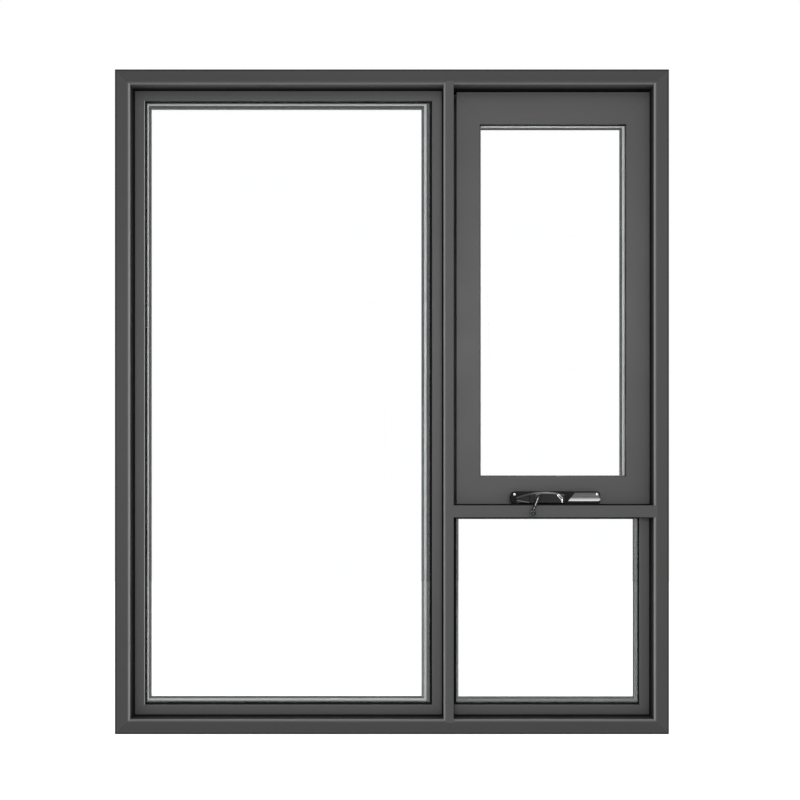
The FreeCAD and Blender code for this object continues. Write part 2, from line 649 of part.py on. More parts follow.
def weather_seal():
    """The bulb seal on the step of the frame, which the sash's flange closes on."""
    x0, z0, x1, z1 = SASH_RECT
    outer = (x0 - FLANGE_MULLION + SEAL_MARGIN, z0 - FLANGE_BOTTOM + SEAL_MARGIN,
             x1 + FLANGE_SIDE - SEAL_MARGIN, HEAD_Z + SEAL_WIDTH)
    keep("weather_seal", ring(outer, (outer[0] + SEAL_WIDTH, outer[1] + SEAL_WIDTH,
                                      outer[2] - SEAL_WIDTH, HEAD_Z),
                              STEP_Y, FLANGE_Y - SEAL_CLEARANCE))


# ---- Hook hinge along the head ----
def hinge():
    """A frame leaf with a long pin under a neck, and a sash leaf that curls round the pin."""
    middle = (SASH_RECT[0] + SASH_RECT[2]) / 2
    start = middle - HINGE_LENGTH / 2
    sweep = V(HINGE_LENGTH, 0, 0)
    ceiling = WINDOW_HEIGHT - OUTER_LEG
    plate = block(start, HINGE_Y - 7, ceiling - HINGE_PLATE, start + HINGE_LENGTH,
                  HINGE_Y + 7, ceiling)
    neck = block(start, HINGE_Y - HINGE_NECK / 2, HINGE_Z, start + HINGE_LENGTH,
                 HINGE_Y + HINGE_NECK / 2, ceiling - HINGE_PLATE)
    pin = Part.makeCylinder(HINGE_PIN_RADIUS, HINGE_LENGTH, V(start, HINGE_Y, HINGE_Z), V(1, 0, 0))
    keep("hinge_frame_leaf", plate.fuse([neck, pin]).removeSplitter())
    inside = HINGE_PIN_RADIUS + HINGE_FIT
    outside = inside + HINGE_CURL

    def at(radius, degrees):
        angle = math.radians(degrees)
        return V(start, HINGE_Y + radius * math.cos(angle), HINGE_Z + radius * math.sin(angle))

    first, last = CURL_ANGLES
    half = (first + last) / 2
    edges = [Part.Arc(at(outside, first), at(outside, half), at(outside, last)).toShape(),
             Part.makeLine(at(outside, last), at(inside, last)),
             Part.Arc(at(inside, last), at(inside, half), at(inside, first)).toShape(),
             Part.makeLine(at(inside, first), at(outside, first))]
    curl = Part.Face(Part.Wire(edges)).extrude(sweep)
    back = FLANGE_Y + FLANGE_THICKNESS
    leg = block(start, back, SASH_RECT[3] - HINGE_LEG, start + HINGE_LENGTH,
                back + HINGE_PLATE, HINGE_Z - inside - HINGE_CURL / 2)
    link = block(start, back, HINGE_Z - outside, start + HINGE_LENGTH, HINGE_Y,
                 HINGE_Z - inside - HINGE_CURL / 4)
    keep("hinge_sash_leaf", curl.fuse([leg, link]).removeSplitter())


# ---- Winder: bracket, housing and covers ----
def winder_outline():
    """The housing's outline seen from the room: a round left end and a squarer right end."""
    return [(WINDER_LEFT, WINDER_FLOOR, WINDER_END_LOW), (WINDER_RIGHT, WINDER_FLOOR, WINDER_CORNER),
            (WINDER_RIGHT, WINDER_TOP, WINDER_CORNER), (WINDER_LEFT, WINDER_TOP, WINDER_END_HIGH)]


def edges_at(solid, y):
    """The edges that lie in the face at depth y."""
    return [e for e in solid.Edges if all(abs(v.Y - y) < SAME_POINT for v in e.Vertexes)]


def arch(y):
    """The raised middle's outline: flat below, a long arch above that comes down to the left."""
    left = SPINDLE_X - DOME_LEFT
    right = SPINDLE_X + DOME_RIGHT
    low = WINDER_FLOOR + DOME_MARGIN
    high = WINDER_TOP - DOME_MARGIN
    corners = [V(left + DOME_TIP / 2, y, low), V(right, y, low), V(right, y, high - DOME_SHOULDER),
               V(left, y, high - DOME_TIP), V(left, y, low + DOME_TIP / 2)]
    top = V(left + DOME_PEAK * (right - left), y, high)
    lines = [Part.makeLine(corners[i], corners[(i + 1) % 5]) for i in (0, 1, 3, 4)]
    return Part.Wire(Part.__sortEdges__(lines + [Part.Arc(corners[2], top, corners[3]).toShape()]))


def hollow_outline(y, by):
    """The thumb hollow's outline at depth y, drawn in by a width on every side."""
    x0 = WINDER_LEFT + LEAF_IN + 2 * by
    x1 = WINDER_LEFT + LEAF_IN + LEAF_LENGTH - by
    low = WINDER_FLOOR + LEAF_LOW + by
    high = WINDER_FLOOR + LEAF_LOW + LEAF_HEIGHT - by
    tip = (low + high) / 2
    third = (x1 - x0) / 3
    return Part.Wire([
        Part.Arc(V(x0, y, tip), V(x0 + third, y, (low + tip) / 2 - by / 2), V(x1, y, low)).toShape(),
        Part.makeLine(V(x1, y, low), V(x1, y, high)),
        Part.Arc(V(x1, y, high), V(x0 + third, y, (high + tip) / 2 + by / 2), V(x0, y, tip)).toShape()])


def housing():
    """The moulded body: its arched middle with the thumb hollow, and the room for gears and chain."""
    depth = V(0, WINDER_FRONT - WINDER_BACK, 0)
    body = prism(winder_outline(), in_xz(WINDER_BACK), depth)
    body = body.makeFillet(WINDER_ROUND, edges_at(body, WINDER_FRONT))
    back = WINDER_FRONT + WINDER_ROUND
    dome = Part.Face(arch(back)).extrude(V(0, DOME_FRONT - back, 0))
    dome = dome.makeChamfer(DOME_BEVEL, edges_at(dome, DOME_FRONT))
    body = body.fuse(dome).removeSplitter()
    hollow = Part.makeLoft([hollow_outline(DOME_FRONT - 1, -LEAF_LIP / LEAF_DEPTH),
                            hollow_outline(DOME_FRONT + LEAF_DEPTH, LEAF_LIP)], True, True)
    gears = block(SPINDLE_X - GEAR_ROOM, DOME_FRONT + WINDER_WALL, WINDER_FLOOR + WINDER_WALL,
                  LANE_START, WINDER_BACK, WINDER_TOP - 4 * WINDER_WALL)
    lane = block(LANE_START - 1, WINDER_FRONT + WINDER_WALL, WINDER_FLOOR + WINDER_WALL,
                 MAGAZINE_END, WINDER_BACK, CHAIN_Z + CHAIN_HEIGHT / 2 + CHAIN_ROOM)
    under = block(SPINDLE_X - GEAR_ROOM, DOME_FRONT + 2 * WINDER_WALL, WINDER_FLOOR - 1,
                  SPINDLE_X + GEAR_ROOM, WINDER_BACK, WINDER_FLOOR + WINDER_WALL)
    bearing = along_y(SPINDLE_RADIUS + SPINDLE_FIT, SPINDLE_X, SPINDLE_Z, DOME_FRONT - 1,
                      DOME_FRONT + 2 * WINDER_WALL)
    seat = cover_outline(0.0).common(block(COVER_LEFT, DOME_FRONT, WINDER_FLOOR, WINDER_RIGHT,
                                           WINDER_FRONT + COVER_SEAT, WINDER_TOP))
    body = body.cut([hollow, gears, lane, under, bearing, seat] + screw_holes(SCREW_RADIUS))
    pin = along_y(LEVER_PIN, LEVER_X, LEVER_Z, LEVER_BACK - LEVER_THICKNESS - LEVER_PIN_HEAD,
                  DOME_FRONT + WINDER_WALL)
    keep("winder_housing", body.fuse(pin).removeSplitter())


def along_y(radius, x, z, y0, y1):
    """A cylinder that lies across the window from depth y0 to y1."""
    return Part.makeCylinder(radius, y1 - y0, V(x, y0, z), V(0, 1, 0))


def screw_places():
    return WINDER_LEFT + SCREW_END_LEFT, WINDER_RIGHT - SCREW_END_RIGHT


def screw_holes(radius):
    """Round solids along the two fixing screws."""
    return [along_y(radius, x, SCREW_Z, DOME_FRONT, WINDER_BACK + 2 * BRACKET_PLATE)
            for x in screw_places()]


def cover_outline(gap):
    """The outline of the cover through the housing's depth: slanted left, drawn to a lip right."""
    low = WINDER_FLOOR + COVER_FOOT
    high = WINDER_TOP - COVER_TOP
    points = [(COVER_LEFT + gap, low), (WINDER_RIGHT - 2 * COVER_LIP, low),
              (WINDER_RIGHT - gap, low + COVER_LIP, COVER_END), (WINDER_RIGHT - COVER_LIP, high, COVER_END),
              (COVER_LEFT + COVER_LEAN + gap, high)]
    return prism(points, in_xz(DOME_FRONT), V(0, WINDER_BACK - DOME_FRONT, 0))


def end_cover():
    """The cover on the right: its face sweeps out to a lip near its lower edge."""
    low = WINDER_FLOOR + COVER_FOOT
    high = WINDER_TOP - COVER_TOP
    seat = WINDER_FRONT + COVER_SEAT
    lip = V(COVER_LEFT, WINDER_FRONT - COVER_RISE, low + COVER_LIP / 2)
    sweep = V(COVER_LEFT, WINDER_FRONT - COVER_RISE * COVER_SWEEP, (low + high) / 2)
    top = V(COVER_LEFT, WINDER_FRONT, high)
    back_top = V(COVER_LEFT, seat, high)
    back_low = V(COVER_LEFT, seat, low)
    section = [Part.makeLine(back_low, back_top), Part.makeLine(back_top, top),
               Part.Arc(top, sweep, lip).toShape(), Part.makeLine(lip, back_low)]
    bar = Part.Face(Part.Wire(section)).extrude(V(WINDER_LENGTH, 0, 0))
    x = screw_places()[1]
    sunk = along_y(SCREW_HEAD + PART_GAP, x, SCREW_Z, DOME_FRONT, WINDER_FRONT)
    cover = bar.common(cover_outline(COVER_GAP)).cut([sunk] + screw_holes(SCREW_RADIUS))
    keep("winder_end_cover", cover)


def screws():
    """Two pan-head screws through the housing into the bracket."""
    shank = SCREW_RADIUS - SCREW_FIT
    solids = []
    for x in screw_places():
        head = Part.makeCone(SCREW_HEAD * SCREW_CROWN, SCREW_HEAD, SCREW_HEAD_HEIGHT,
                             V(x, WINDER_FRONT - SCREW_HEAD_HEIGHT, SCREW_Z), V(0, 1, 0))
        solids.append(head.fuse(along_y(shank, x, SCREW_Z, WINDER_FRONT,
                                        WINDER_BACK + BRACKET_PLATE)))
    keep("winder_screws", *solids)


def bracket():
    """The angle under and behind the winder, with the stud that the crown gear turns on."""
    x0 = WINDER_LEFT + BRACKET_END
    x1 = WINDER_RIGHT - BRACKET_END
    foot = block(x0, WINDER_FRONT - WINDER_ROUND, TRANSOM_TOP, x1, WINDER_BACK,
                 TRANSOM_TOP + BRACKET_PLATE)
    upright = block(x0, WINDER_BACK, TRANSOM_TOP, x1, WINDER_BACK + BRACKET_PLATE,
                    WINDER_TOP - BRACKET_PLATE)
    stud = Part.makeCylinder(STUD_RADIUS, CROWN_TIP - TRANSOM_TOP + 1,
                             V(SPINDLE_X, GEAR_Y, TRANSOM_TOP))
    slot = block(CHAIN_X - CHAIN_SLOT / 2, WINDER_BACK - 1, CHAIN_Z - CHAIN_SLOT_HEIGHT / 2,
                 CHAIN_X + CHAIN_SLOT / 2, WINDER_BACK + BRACKET_PLATE + 1,
                 CHAIN_Z + CHAIN_SLOT_HEIGHT / 2)
    angle = foot.fuse([upright, stud]).cut([slot] + screw_holes(SCREW_RADIUS - SCREW_FIT))
    keep("winder_bracket", angle.removeSplitter())


# ---- Winder: gears and chain ----
def round_array(solid, centre, axis, count, start):
    """Copies of a solid evenly round an axis, the first turned by start steps."""
    copies = []
    for i in range(count):
        turned = solid.copy()
        turned.rotate(centre, axis, 360.0 * (i + start) / count)
        copies.append(turned)
    return copies


def crown_gear():
    """The crown gear with the chain's sprocket below it, in one piece on the stud."""
    centre = V(SPINDLE_X, GEAR_Y, 0)
    up = V(0, 0, 1)
    bore = Part.makeCylinder(STUD_RADIUS + SPINDLE_FIT, CROWN_TIP - TRANSOM_TOP,
                             V(SPINDLE_X, GEAR_Y, TRANSOM_TOP))
    disc = Part.makeCylinder(CROWN_RADIUS, CROWN_THICKNESS, V(SPINDLE_X, GEAR_Y, CROWN_BASE))
    tooth = block(SPINDLE_X - TOOTH_WIDTH / 2, PINION_FRONT,
                  CROWN_BASE + CROWN_THICKNESS - TOOTH_ROOT, SPINDLE_X + TOOTH_WIDTH / 2,
                  GEAR_Y - CROWN_RADIUS + TOOTH_LENGTH, CROWN_TIP)
    boss = Part.makeCylinder(SPROCKET_ROOT, CROWN_BASE - SPROCKET_BASE,
                             V(SPINDLE_X, GEAR_Y, SPROCKET_BASE))
    cog = block(SPINDLE_X - COG_WIDTH / 2, GEAR_Y, CHAIN_Z - COG_THICKNESS / 2,
                SPINDLE_X + COG_WIDTH / 2, GEAR_Y + SPROCKET_TIP, CHAIN_Z + COG_THICKNESS / 2)
    teeth = round_array(tooth, centre, up, CROWN_TEETH, 0.5)
    cogs = round_array(cog, centre, up, SPROCKET_TEETH, 0.5)
    keep("crown_gear", disc.fuse(teeth + [boss] + cogs).cut(bore).removeSplitter())


def chain_path():
    """Joint centres of the stored chain, from the exit slot round the sprocket and away."""
    points = []
    step = 360.0 / SPROCKET_TEETH
    for i in range(4):
        angle = math.radians(180 + i * step)
        points.append((SPINDLE_X + SPROCKET_RADIUS * math.cos(angle),
                       GEAR_Y + SPROCKET_RADIUS * math.sin(angle)))
    turn_x = MAGAZINE_END - MAGAZINE_TURN - CHAIN_WIDTH / 2 - CHAIN_ROOM
    front_y = WINDER_FRONT + WINDER_WALL + CHAIN_WIDTH / 2 + CHAIN_ROOM
    lane = [points[-1], (LANE_START, front_y), (turn_x, front_y)]
    for i in range(1, 5):
        angle = math.radians(-90 + 45 * i)
        lane.append((turn_x + MAGAZINE_TURN * math.cos(angle),
                     front_y + MAGAZINE_TURN + MAGAZINE_TURN * math.sin(angle)))
    lane.append((LANE_START, front_y + 2 * MAGAZINE_TURN))
    return points[:-1], lane


def chain():
    """The push chain as stored: joint pins and side plates, one link behind another."""
    around, lane = chain_path()
    joints = [(CHAIN_X, GEAR_Y + CHAIN_PITCH), *around]
    for a, b in zip(lane, lane[1:]):
        length = math.dist(a, b)
        count = max(1, round(length / CHAIN_PITCH))
        joints += [(a[0] + (b[0] - a[0]) * i / count, a[1] + (b[1] - a[1]) * i / count)
                   for i in range(count)]
    joints.append(lane[-1])
    solids = []
    for i, (a, b) in enumerate(zip(joints, joints[1:])):
        solids += link(a, b, CHAIN_GAP / 2 + (i % 2) * (CHAIN_PLATE + PLATE_GAP))
    keep("chain", *solids)


def link(a, b, rise):
    """The two side plates of one link between joint centres a and b."""
    length = math.dist(a, b)
    angle = math.degrees(math.atan2(b[1] - a[1], b[0] - a[0]))
    solids = []
    for low in (CHAIN_Z + rise, CHAIN_Z - rise - CHAIN_PLATE):
        near, far = -PLATE_REACH, length + PLATE_REACH
        points = [(near + PLATE_CORNER, -PLATE_REACH), (far - PLATE_CORNER, -PLATE_REACH),
                  (far, 0), (far - PLATE_CORNER, PLATE_REACH), (near + PLATE_CORNER, PLATE_REACH),
                  (near, 0)]
        plate = prism(points, lambda x, y: V(x, y, 0), V(0, 0, CHAIN_PLATE))
        plate.rotate(V(0, 0, 0), V(0, 0, 1), angle)
        plate.translate(V(a[0], a[1], low))
        solids.append(plate)
    return solids


def chain_end():
    """The last link of the chain, which swings on the sash's bracket."""
    low = CHAIN_Z - TONGUE_HEIGHT / 2
    tongue = block(CHAIN_X - TONGUE / 2, WINDER_BACK + BRACKET_PLATE - TONGUE_TAIL, low,
                   CHAIN_X + TONGUE / 2, PIVOT_Y, low + TONGUE_HEIGHT)
    eye = Part.makeCylinder(TONGUE_HEIGHT / 2, TONGUE, V(CHAIN_X - TONGUE / 2, PIVOT_Y, CHAIN_Z),
                            V(1, 0, 0))
    bore = Part.makeCylinder(PIVOT_RADIUS + SPINDLE_FIT, TONGUE + 2,
                             V(CHAIN_X - TONGUE / 2 - 1, PIVOT_Y, CHAIN_Z), V(1, 0, 0))
    keep("chain_end", tongue.fuse(eye).cut(bore).removeSplitter())
    foot = SASH_RECT[1] + EAR_PLATE_FOOT
    plate = block(CHAIN_X - EAR_PLATE / 2, FACE_Y - EAR_THICKNESS, foot,
                  CHAIN_X + EAR_PLATE / 2, FACE_Y, foot + EAR_PLATE_HEIGHT)
    ears = []
    for x in (CHAIN_X - TONGUE / 2 - EAR_GAP - EAR_THICKNESS, CHAIN_X + TONGUE / 2 + EAR_GAP):
        ears.append(block(x, PIVOT_Y - EAR_REACH, CHAIN_Z - EAR_REACH, x + EAR_THICKNESS, FACE_Y,
                          CHAIN_Z + 2 * EAR_REACH))
    span = TONGUE + 2 * (EAR_GAP + EAR_THICKNESS)
    pin = Part.makeCylinder(PIVOT_RADIUS, span, V(CHAIN_X - span / 2, PIVOT_Y, CHAIN_Z), V(1, 0, 0))
    keep("sash_chain_bracket", plate.fuse(ears + [pin]).removeSplitter())


# ---- Winder: crank ----
ARM = V(KNOB_X - SPINDLE_X, 0, KNOB_Z - SPINDLE_Z)
ARM_LENGTH = ARM.Length
ARM_WAY = V(ARM).normalize()
ARM_ACROSS = V(-ARM_WAY.z, 0, ARM_WAY.x)


def on_arm(along, across, y):
    """A point along the crank's arm and across it, at depth y."""
    return V(SPINDLE_X, y, SPINDLE_Z) + ARM_WAY * along + ARM_ACROSS * across


def spindle():
    """The spindle with its pinion inside the housing and its slotted hub outside it."""
    shaft = along_y(SPINDLE_RADIUS, SPINDLE_X, SPINDLE_Z, HUB_BACK, PINION_BACK)
    root = along_y(PINION_ROOT, SPINDLE_X, SPINDLE_Z, PINION_FRONT, PINION_BACK)
    tooth = block(SPINDLE_X - PINION_TOOTH / 2, PINION_FRONT, SPINDLE_Z,
                  SPINDLE_X + PINION_TOOTH / 2, PINION_BACK, SPINDLE_Z + PINION_TIP)
    teeth = round_array(tooth, V(SPINDLE_X, 0, SPINDLE_Z), V(0, 1, 0), PINION_TEETH, 0.0)
    hub = along_y(HUB_RADIUS, SPINDLE_X, SPINDLE_Z, HUB_FRONT, HUB_BACK)
    hub = hub.makeChamfer(HUB_ROUND, edges_at(hub, HUB_FRONT)[:1])
    half = ARM_WIDTH / 2 + ARM_GAP
    end = HUB_RADIUS + ARM_WIDTH
    slot = prism([(-HUB_SLOT_BACK, -half), (end, -half), (end, half), (-HUB_SLOT_BACK, half)],
                 lambda a, b: on_arm(a, b, HUB_FRONT - 1), V(0, HUB_SLOT_DEPTH + 1, 0))
    pin = Part.makeCylinder(HUB_PIN, 2 * HUB_PIN_HALF, on_arm(0, -HUB_PIN_HALF, FOLD_Y), ARM_ACROSS)
    keep("crank_spindle", shaft.fuse([root, hub.cut(slot)] + teeth + [pin]).removeSplitter())


def crank_arm():
    """The arm that folds on the hub's pin, with the stem that carries the knob."""
    half = ARM_WIDTH / 2
    bend = ARM_LENGTH / 2
    outline = [(0, -half), (bend, -half, ARM_BEND), (ARM_LENGTH, -ARM_TIP), (ARM_LENGTH, ARM_TIP),
               (bend, half, ARM_BEND), (0, half)]
    arm = prism(outline, lambda a, b: on_arm(a, b, ARM_FRONT), V(0, ARM_THICKNESS, 0))
    eye = Part.makeCylinder(ARM_THICKNESS / 2, ARM_WIDTH, on_arm(0, -half, FOLD_Y), ARM_ACROSS)
    tip = along_y(ARM_TIP, KNOB_X, KNOB_Z, ARM_FRONT, ARM_BACK)
    stem = along_y(STEM_RADIUS, KNOB_X, KNOB_Z, KNOB_FRONT + KNOB_WALL, ARM_FRONT)
    bore = Part.makeCylinder(HUB_PIN + SPINDLE_FIT, 2 * ARM_WIDTH,
                             on_arm(0, -ARM_WIDTH, FOLD_Y), ARM_ACROSS)
    keep("crank_arm", arm.fuse([eye, tip, stem]).cut(bore).removeSplitter())


def knob_ring(radius, y):
    """The knob's outline at depth y: one straight side for each flat of its grip."""
    steps = [2 * math.pi * i / KNOB_FLATS for i in range(KNOB_FLATS)]
    points = [V(KNOB_X + radius * math.cos(a), y, KNOB_Z + radius * math.sin(a)) for a in steps]
    return Part.makePolygon(points + points[:1])


def crank_knob():
    """The turning knob: a bevelled grip that narrows towards the arm, hollow for the stem."""
    rings = [knob_ring(KNOB_RADIUS - KNOB_ROUND, KNOB_FRONT),
             knob_ring(KNOB_RADIUS, KNOB_FRONT + KNOB_ROUND),
             knob_ring(KNOB_RADIUS - KNOB_WAIST, ARM_FRONT - KNOB_GAP)]
    grip = Part.makeLoft(rings, True, True)
    socket = along_y(STEM_RADIUS + SPINDLE_FIT, KNOB_X, KNOB_Z, KNOB_FRONT + KNOB_WALL, ARM_BACK)
    keep("crank_knob", grip.cut(socket))


def lock_lever():
    """A small slotted lever on the housing, bent downwards at its free end."""
    half = LEVER_WIDTH / 2
    way = V(1, 0, -1).normalize()
    side = V(1, 0, 1).normalize()
    start = V(LEVER_X, LEVER_BACK, LEVER_Z)

    def place(a, b):
        return start + way * a + side * b

    bar = prism([(-half, -half, LEVER_ROUND), (LEVER_LENGTH, -half, 1),
                 (LEVER_LENGTH, half, LEVER_ROUND), (-half, half, LEVER_ROUND)],
                place, V(0, -LEVER_THICKNESS, 0))
    first = half + LEVER_SLOT_END
    last = LEVER_LENGTH - LEVER_SLOT_END - LEVER_SLOT / 2
    slot = prism([(first, -LEVER_SLOT / 2), (last, -LEVER_SLOT / 2),
                  (last, LEVER_SLOT / 2), (first, LEVER_SLOT / 2)],
                 lambda a, b: place(a, b) + V(0, 1, 0), V(0, -LEVER_THICKNESS - 2, 0))
    end = start + way * (LEVER_LENGTH - LEVER_THICKNESS)
    tail = block(end.x - LEVER_TAIL / 2, LEVER_BACK - LEVER_THICKNESS, end.z - LEVER_DROP,
                 end.x + LEVER_TAIL / 2, LEVER_BACK, end.z)
    bore = along_y(LEVER_PIN + SPINDLE_FIT, LEVER_X, LEVER_Z, LEVER_BACK - 2 * LEVER_THICKNESS,
                   LEVER_BACK + 1)
    keep("lock_lever", bar.cut(slot).fuse(tail).cut(bore).removeSplitter())


def build():
    outer_frame()
    bars()
    cleats()
    fixed_light("left", LEFT_OPENING, LEFT_LIGHT)
    fixed_light("lower", LOWER_OPENING, LOWER_LIGHT)
    sash()
    setting_blocks()
    weather_seal()
    hinge()
    housing()
    end_cover()
    screws()
    bracket()
    crown_gear()
    chain()
    chain_end()
    spindle()
    crank_arm()
    crank_knob()
    lock_lever()


def save():
    os.makedirs("parts", exist_ok=True)
    for name, shape in NODES.items():
        shape.exportStep("parts/" + name + ".step")
        if not shape.isValid():
            print(name, "is not valid")
    print(len(NODES), "nodes")


if __name__ == "__main__":
    build()
    save()
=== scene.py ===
"""Looks of a three-light aluminium window with a top-hung sash and a crank-driven chain winder."""
import json
import logging
import math
from dataclasses import dataclass
from enum import Enum
from typing import Callable, Iterable, Optional

import bmesh
import bpy
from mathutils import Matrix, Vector


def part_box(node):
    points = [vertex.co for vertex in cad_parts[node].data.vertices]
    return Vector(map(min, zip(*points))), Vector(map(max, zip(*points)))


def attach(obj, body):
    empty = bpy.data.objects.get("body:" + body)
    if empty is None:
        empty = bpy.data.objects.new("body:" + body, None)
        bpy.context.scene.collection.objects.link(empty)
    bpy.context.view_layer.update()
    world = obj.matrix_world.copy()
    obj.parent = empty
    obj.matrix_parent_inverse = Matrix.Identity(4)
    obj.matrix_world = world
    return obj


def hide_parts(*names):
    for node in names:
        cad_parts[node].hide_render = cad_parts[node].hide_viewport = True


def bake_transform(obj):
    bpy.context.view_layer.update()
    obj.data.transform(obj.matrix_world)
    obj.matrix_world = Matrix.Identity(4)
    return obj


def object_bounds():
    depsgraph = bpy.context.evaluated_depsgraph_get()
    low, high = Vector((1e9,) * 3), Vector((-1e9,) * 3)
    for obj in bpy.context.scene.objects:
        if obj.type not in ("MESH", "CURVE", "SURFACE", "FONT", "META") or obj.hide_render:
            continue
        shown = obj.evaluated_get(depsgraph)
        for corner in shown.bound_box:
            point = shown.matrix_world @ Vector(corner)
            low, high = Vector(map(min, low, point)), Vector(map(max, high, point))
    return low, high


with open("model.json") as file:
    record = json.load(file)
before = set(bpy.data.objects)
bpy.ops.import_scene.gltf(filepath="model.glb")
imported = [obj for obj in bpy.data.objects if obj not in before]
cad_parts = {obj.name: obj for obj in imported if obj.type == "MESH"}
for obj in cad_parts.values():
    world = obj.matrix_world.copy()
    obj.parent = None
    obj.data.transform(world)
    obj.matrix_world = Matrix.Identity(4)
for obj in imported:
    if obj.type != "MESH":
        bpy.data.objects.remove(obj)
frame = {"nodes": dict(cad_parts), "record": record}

CAD_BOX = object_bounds()
HALF_WIDTH = (CAD_BOX[1][0] - CAD_BOX[0][0]) / 2
HALF_HEIGHT = (CAD_BOX[1][2] - CAD_BOX[0][2]) / 2
LOG = logging.getLogger("window")
Colour = tuple[float, float, float]
Point = tuple[float, float, float]
Rect = tuple[float, float, float, float]
Socket = bpy.types.NodeSocket
Test = Callable[[Vector, Vector], bool]
UPRIGHT = (math.radians(90), 0, 0)
SMOOTH_ANGLE = math.radians(35)
WELD = 0.000001
ALONG = 0.5  # an edge or a normal lies along an axis above this share of it
FLAT = 0.99  # a face is square to an axis above this share of it
RIM_CLEAR = 0.002  # the outer rim that the painted recess shade keeps clear of
# RIM_WIDTH, RIM_FADE: the painted rim shade; ARRIS_GAIN: how fast the painted highlight rises
RIM_WIDTH = 0.003
RIM_FADE = 500.0
ARRIS_GAIN = 5.0
FRONT_FACING = 0.9
JOINT_SHADE = 0.8
RECESS_LEAD = 0.002  # how far in front of a recess its painted highlight (lift) starts
FRONT_SHARE = 0.9  # how much of what stands proud is rounded or counts as its front
BROAD_SHARE = 0.75
DUST_FALL = 3.0
FLOOR_SIZE = 24.0
GRAIN_ROUGHNESS = 0.25
# roughness added where painted shade darkens a recess
RECESS_SHADE_ROUGHNESS = 0.5
DUST_ROUGHNESS = 0.4


def deselect() -> None:
    """Leaves object mode's selection empty."""
    if bpy.context.object and bpy.context.object.mode != "OBJECT":
        bpy.ops.object.mode_set(mode="OBJECT")
    bpy.ops.object.select_all(action="DESELECT")


# ---- Shader node groups ----
class GroupName(Enum):
    """The effects that more than one finish uses."""

    GRAIN = "surface_grain"
    DUST = "settled_dust"
    RECESS = "recess_shade"
    ARRIS = "arris_light"
    SWEEP = "height_sweep"


class Nodes:
    """Short ways to add nodes to a tree and join them."""

    def __init__(self, tree: bpy.types.NodeTree) -> None:
        """Keeps the tree that the nodes go in."""
        self.tree = tree

    def add(self, kind: str, **values: object) -> bpy.types.Node:
        """Adds a node and sets its properties.

        Args:
            kind: the node's type.
            values: the node's properties.

        Returns:
            The new node.
        """
        node = self.tree.nodes.new(kind)
        for key, value in values.items():
            setattr(node, key, value)
        return node

    def join(self, out: Socket, into: Socket) -> None:
        """Links an output to an input."""
        self.tree.links.new(out, into)

    @staticmethod
    def fill(node: bpy.types.Node, values: dict[str, object]) -> None:
        """Sets constants on a node's own inputs; a colour is three numbers."""
        for label, value in values.items():
            node.inputs[label].default_value = (*value, 1.0) if isinstance(value, tuple) else value

    def maths(self, operation: str, a: object, b: object = 0.0, clamp: bool = False) -> Socket:
        """Adds a Math node.

        Args:
            operation: the node's operation.
            a: a socket or a number.
            b: a socket or a number.
            clamp: whether the result is kept between 0 and 1.

        Returns:
            The node's output.
        """
        node = self.add("ShaderNodeMath", operation=operation, use_clamp=clamp)
        for value, socket in zip((a, b), node.inputs):
            if isinstance(value, (int, float)):
                socket.default_value = value
            else:
                self.join(value, socket)
        return node.outputs[0]

    def times(self, a: object, b: object, clamp: bool = False) -> Socket:
        """The product of a and b."""
        return self.maths("MULTIPLY", a, b, clamp)

    def plus(self, a: object, b: object, clamp: bool = False) -> Socket:
        """The sum of a and b."""
        return self.maths("ADD", a, b, clamp)

    def minus(self, a: object, b: object, clamp: bool = False) -> Socket:
        """What is left of a without b."""
        return self.maths("SUBTRACT", a, b, clamp)

    def size(self, a: object) -> Socket:
        """The value of a without its sign."""
        return self.maths("ABSOLUTE", a)

    def noise(self, scale: Socket, detail: float, roughness: float) -> Socket:
        """Adds a noise on Object coordinates and returns its value."""
        coords = self.add("ShaderNodeTexCoord")
        node = self.add("ShaderNodeTexNoise")
        self.fill(node, {"Detail": detail, "Roughness": roughness})
        self.join(coords.outputs["Object"], node.inputs["Vector"])
        self.join(scale, node.inputs["Scale"])
        return node.outputs["Fac"]

    def object_place(self) -> tuple[Socket, Socket, Socket]:
        """The place on the object, as three sockets."""
        return self._parts(self.add("ShaderNodeTexCoord").outputs["Object"])

    def surface_normal(self) -> tuple[Socket, Socket, Socket]:
        """The surface's normal, as three sockets."""
        return self._parts(self.add("ShaderNodeNewGeometry").outputs["Normal"])

    def _parts(self, vector: Socket) -> tuple[Socket, Socket, Socket]:
        """Splits a vector into its X, Y and Z."""
        split = self.add("ShaderNodeSeparateXYZ")
        self.join(vector, split.inputs[0])
        return (split.outputs["X"], split.outputs["Y"], split.outputs["Z"])


Group = tuple[Nodes, bpy.types.NodeOutputs, bpy.types.NodeInputs]


def new_group(name: GroupName, inputs: dict[str, float], outputs: Iterable[str]) -> Group:
    """Makes an empty shader node group.

    Args:
        name: which effect it is.
        inputs: the input sockets' names and default values.
        outputs: the output sockets' names.

    Returns:
        The way to add nodes to it, what comes into it and what goes out of it.
    """
    tree = bpy.data.node_groups.new(name.value, "ShaderNodeTree")
    for label, value in inputs.items():
        socket = tree.interface.new_socket(label, in_out="INPUT", socket_type="NodeSocketFloat")
        socket.default_value = value
    for label in outputs:
        tree.interface.new_socket(label, in_out="OUTPUT", socket_type="NodeSocketFloat")
    given = tree.nodes.new("NodeGroupInput").outputs
    return Nodes(tree), given, tree.nodes.new("NodeGroupOutput").inputs


def new_material(name: str) -> tuple[bpy.types.Material, Nodes, bpy.types.Node]:
    """Makes a material and gives it, the way to add nodes to it, and its shader."""
    material = bpy.data.materials.new(name)
    material.use_nodes = True
    return material, Nodes(material.node_tree), material.node_tree.nodes["Principled BSDF"]


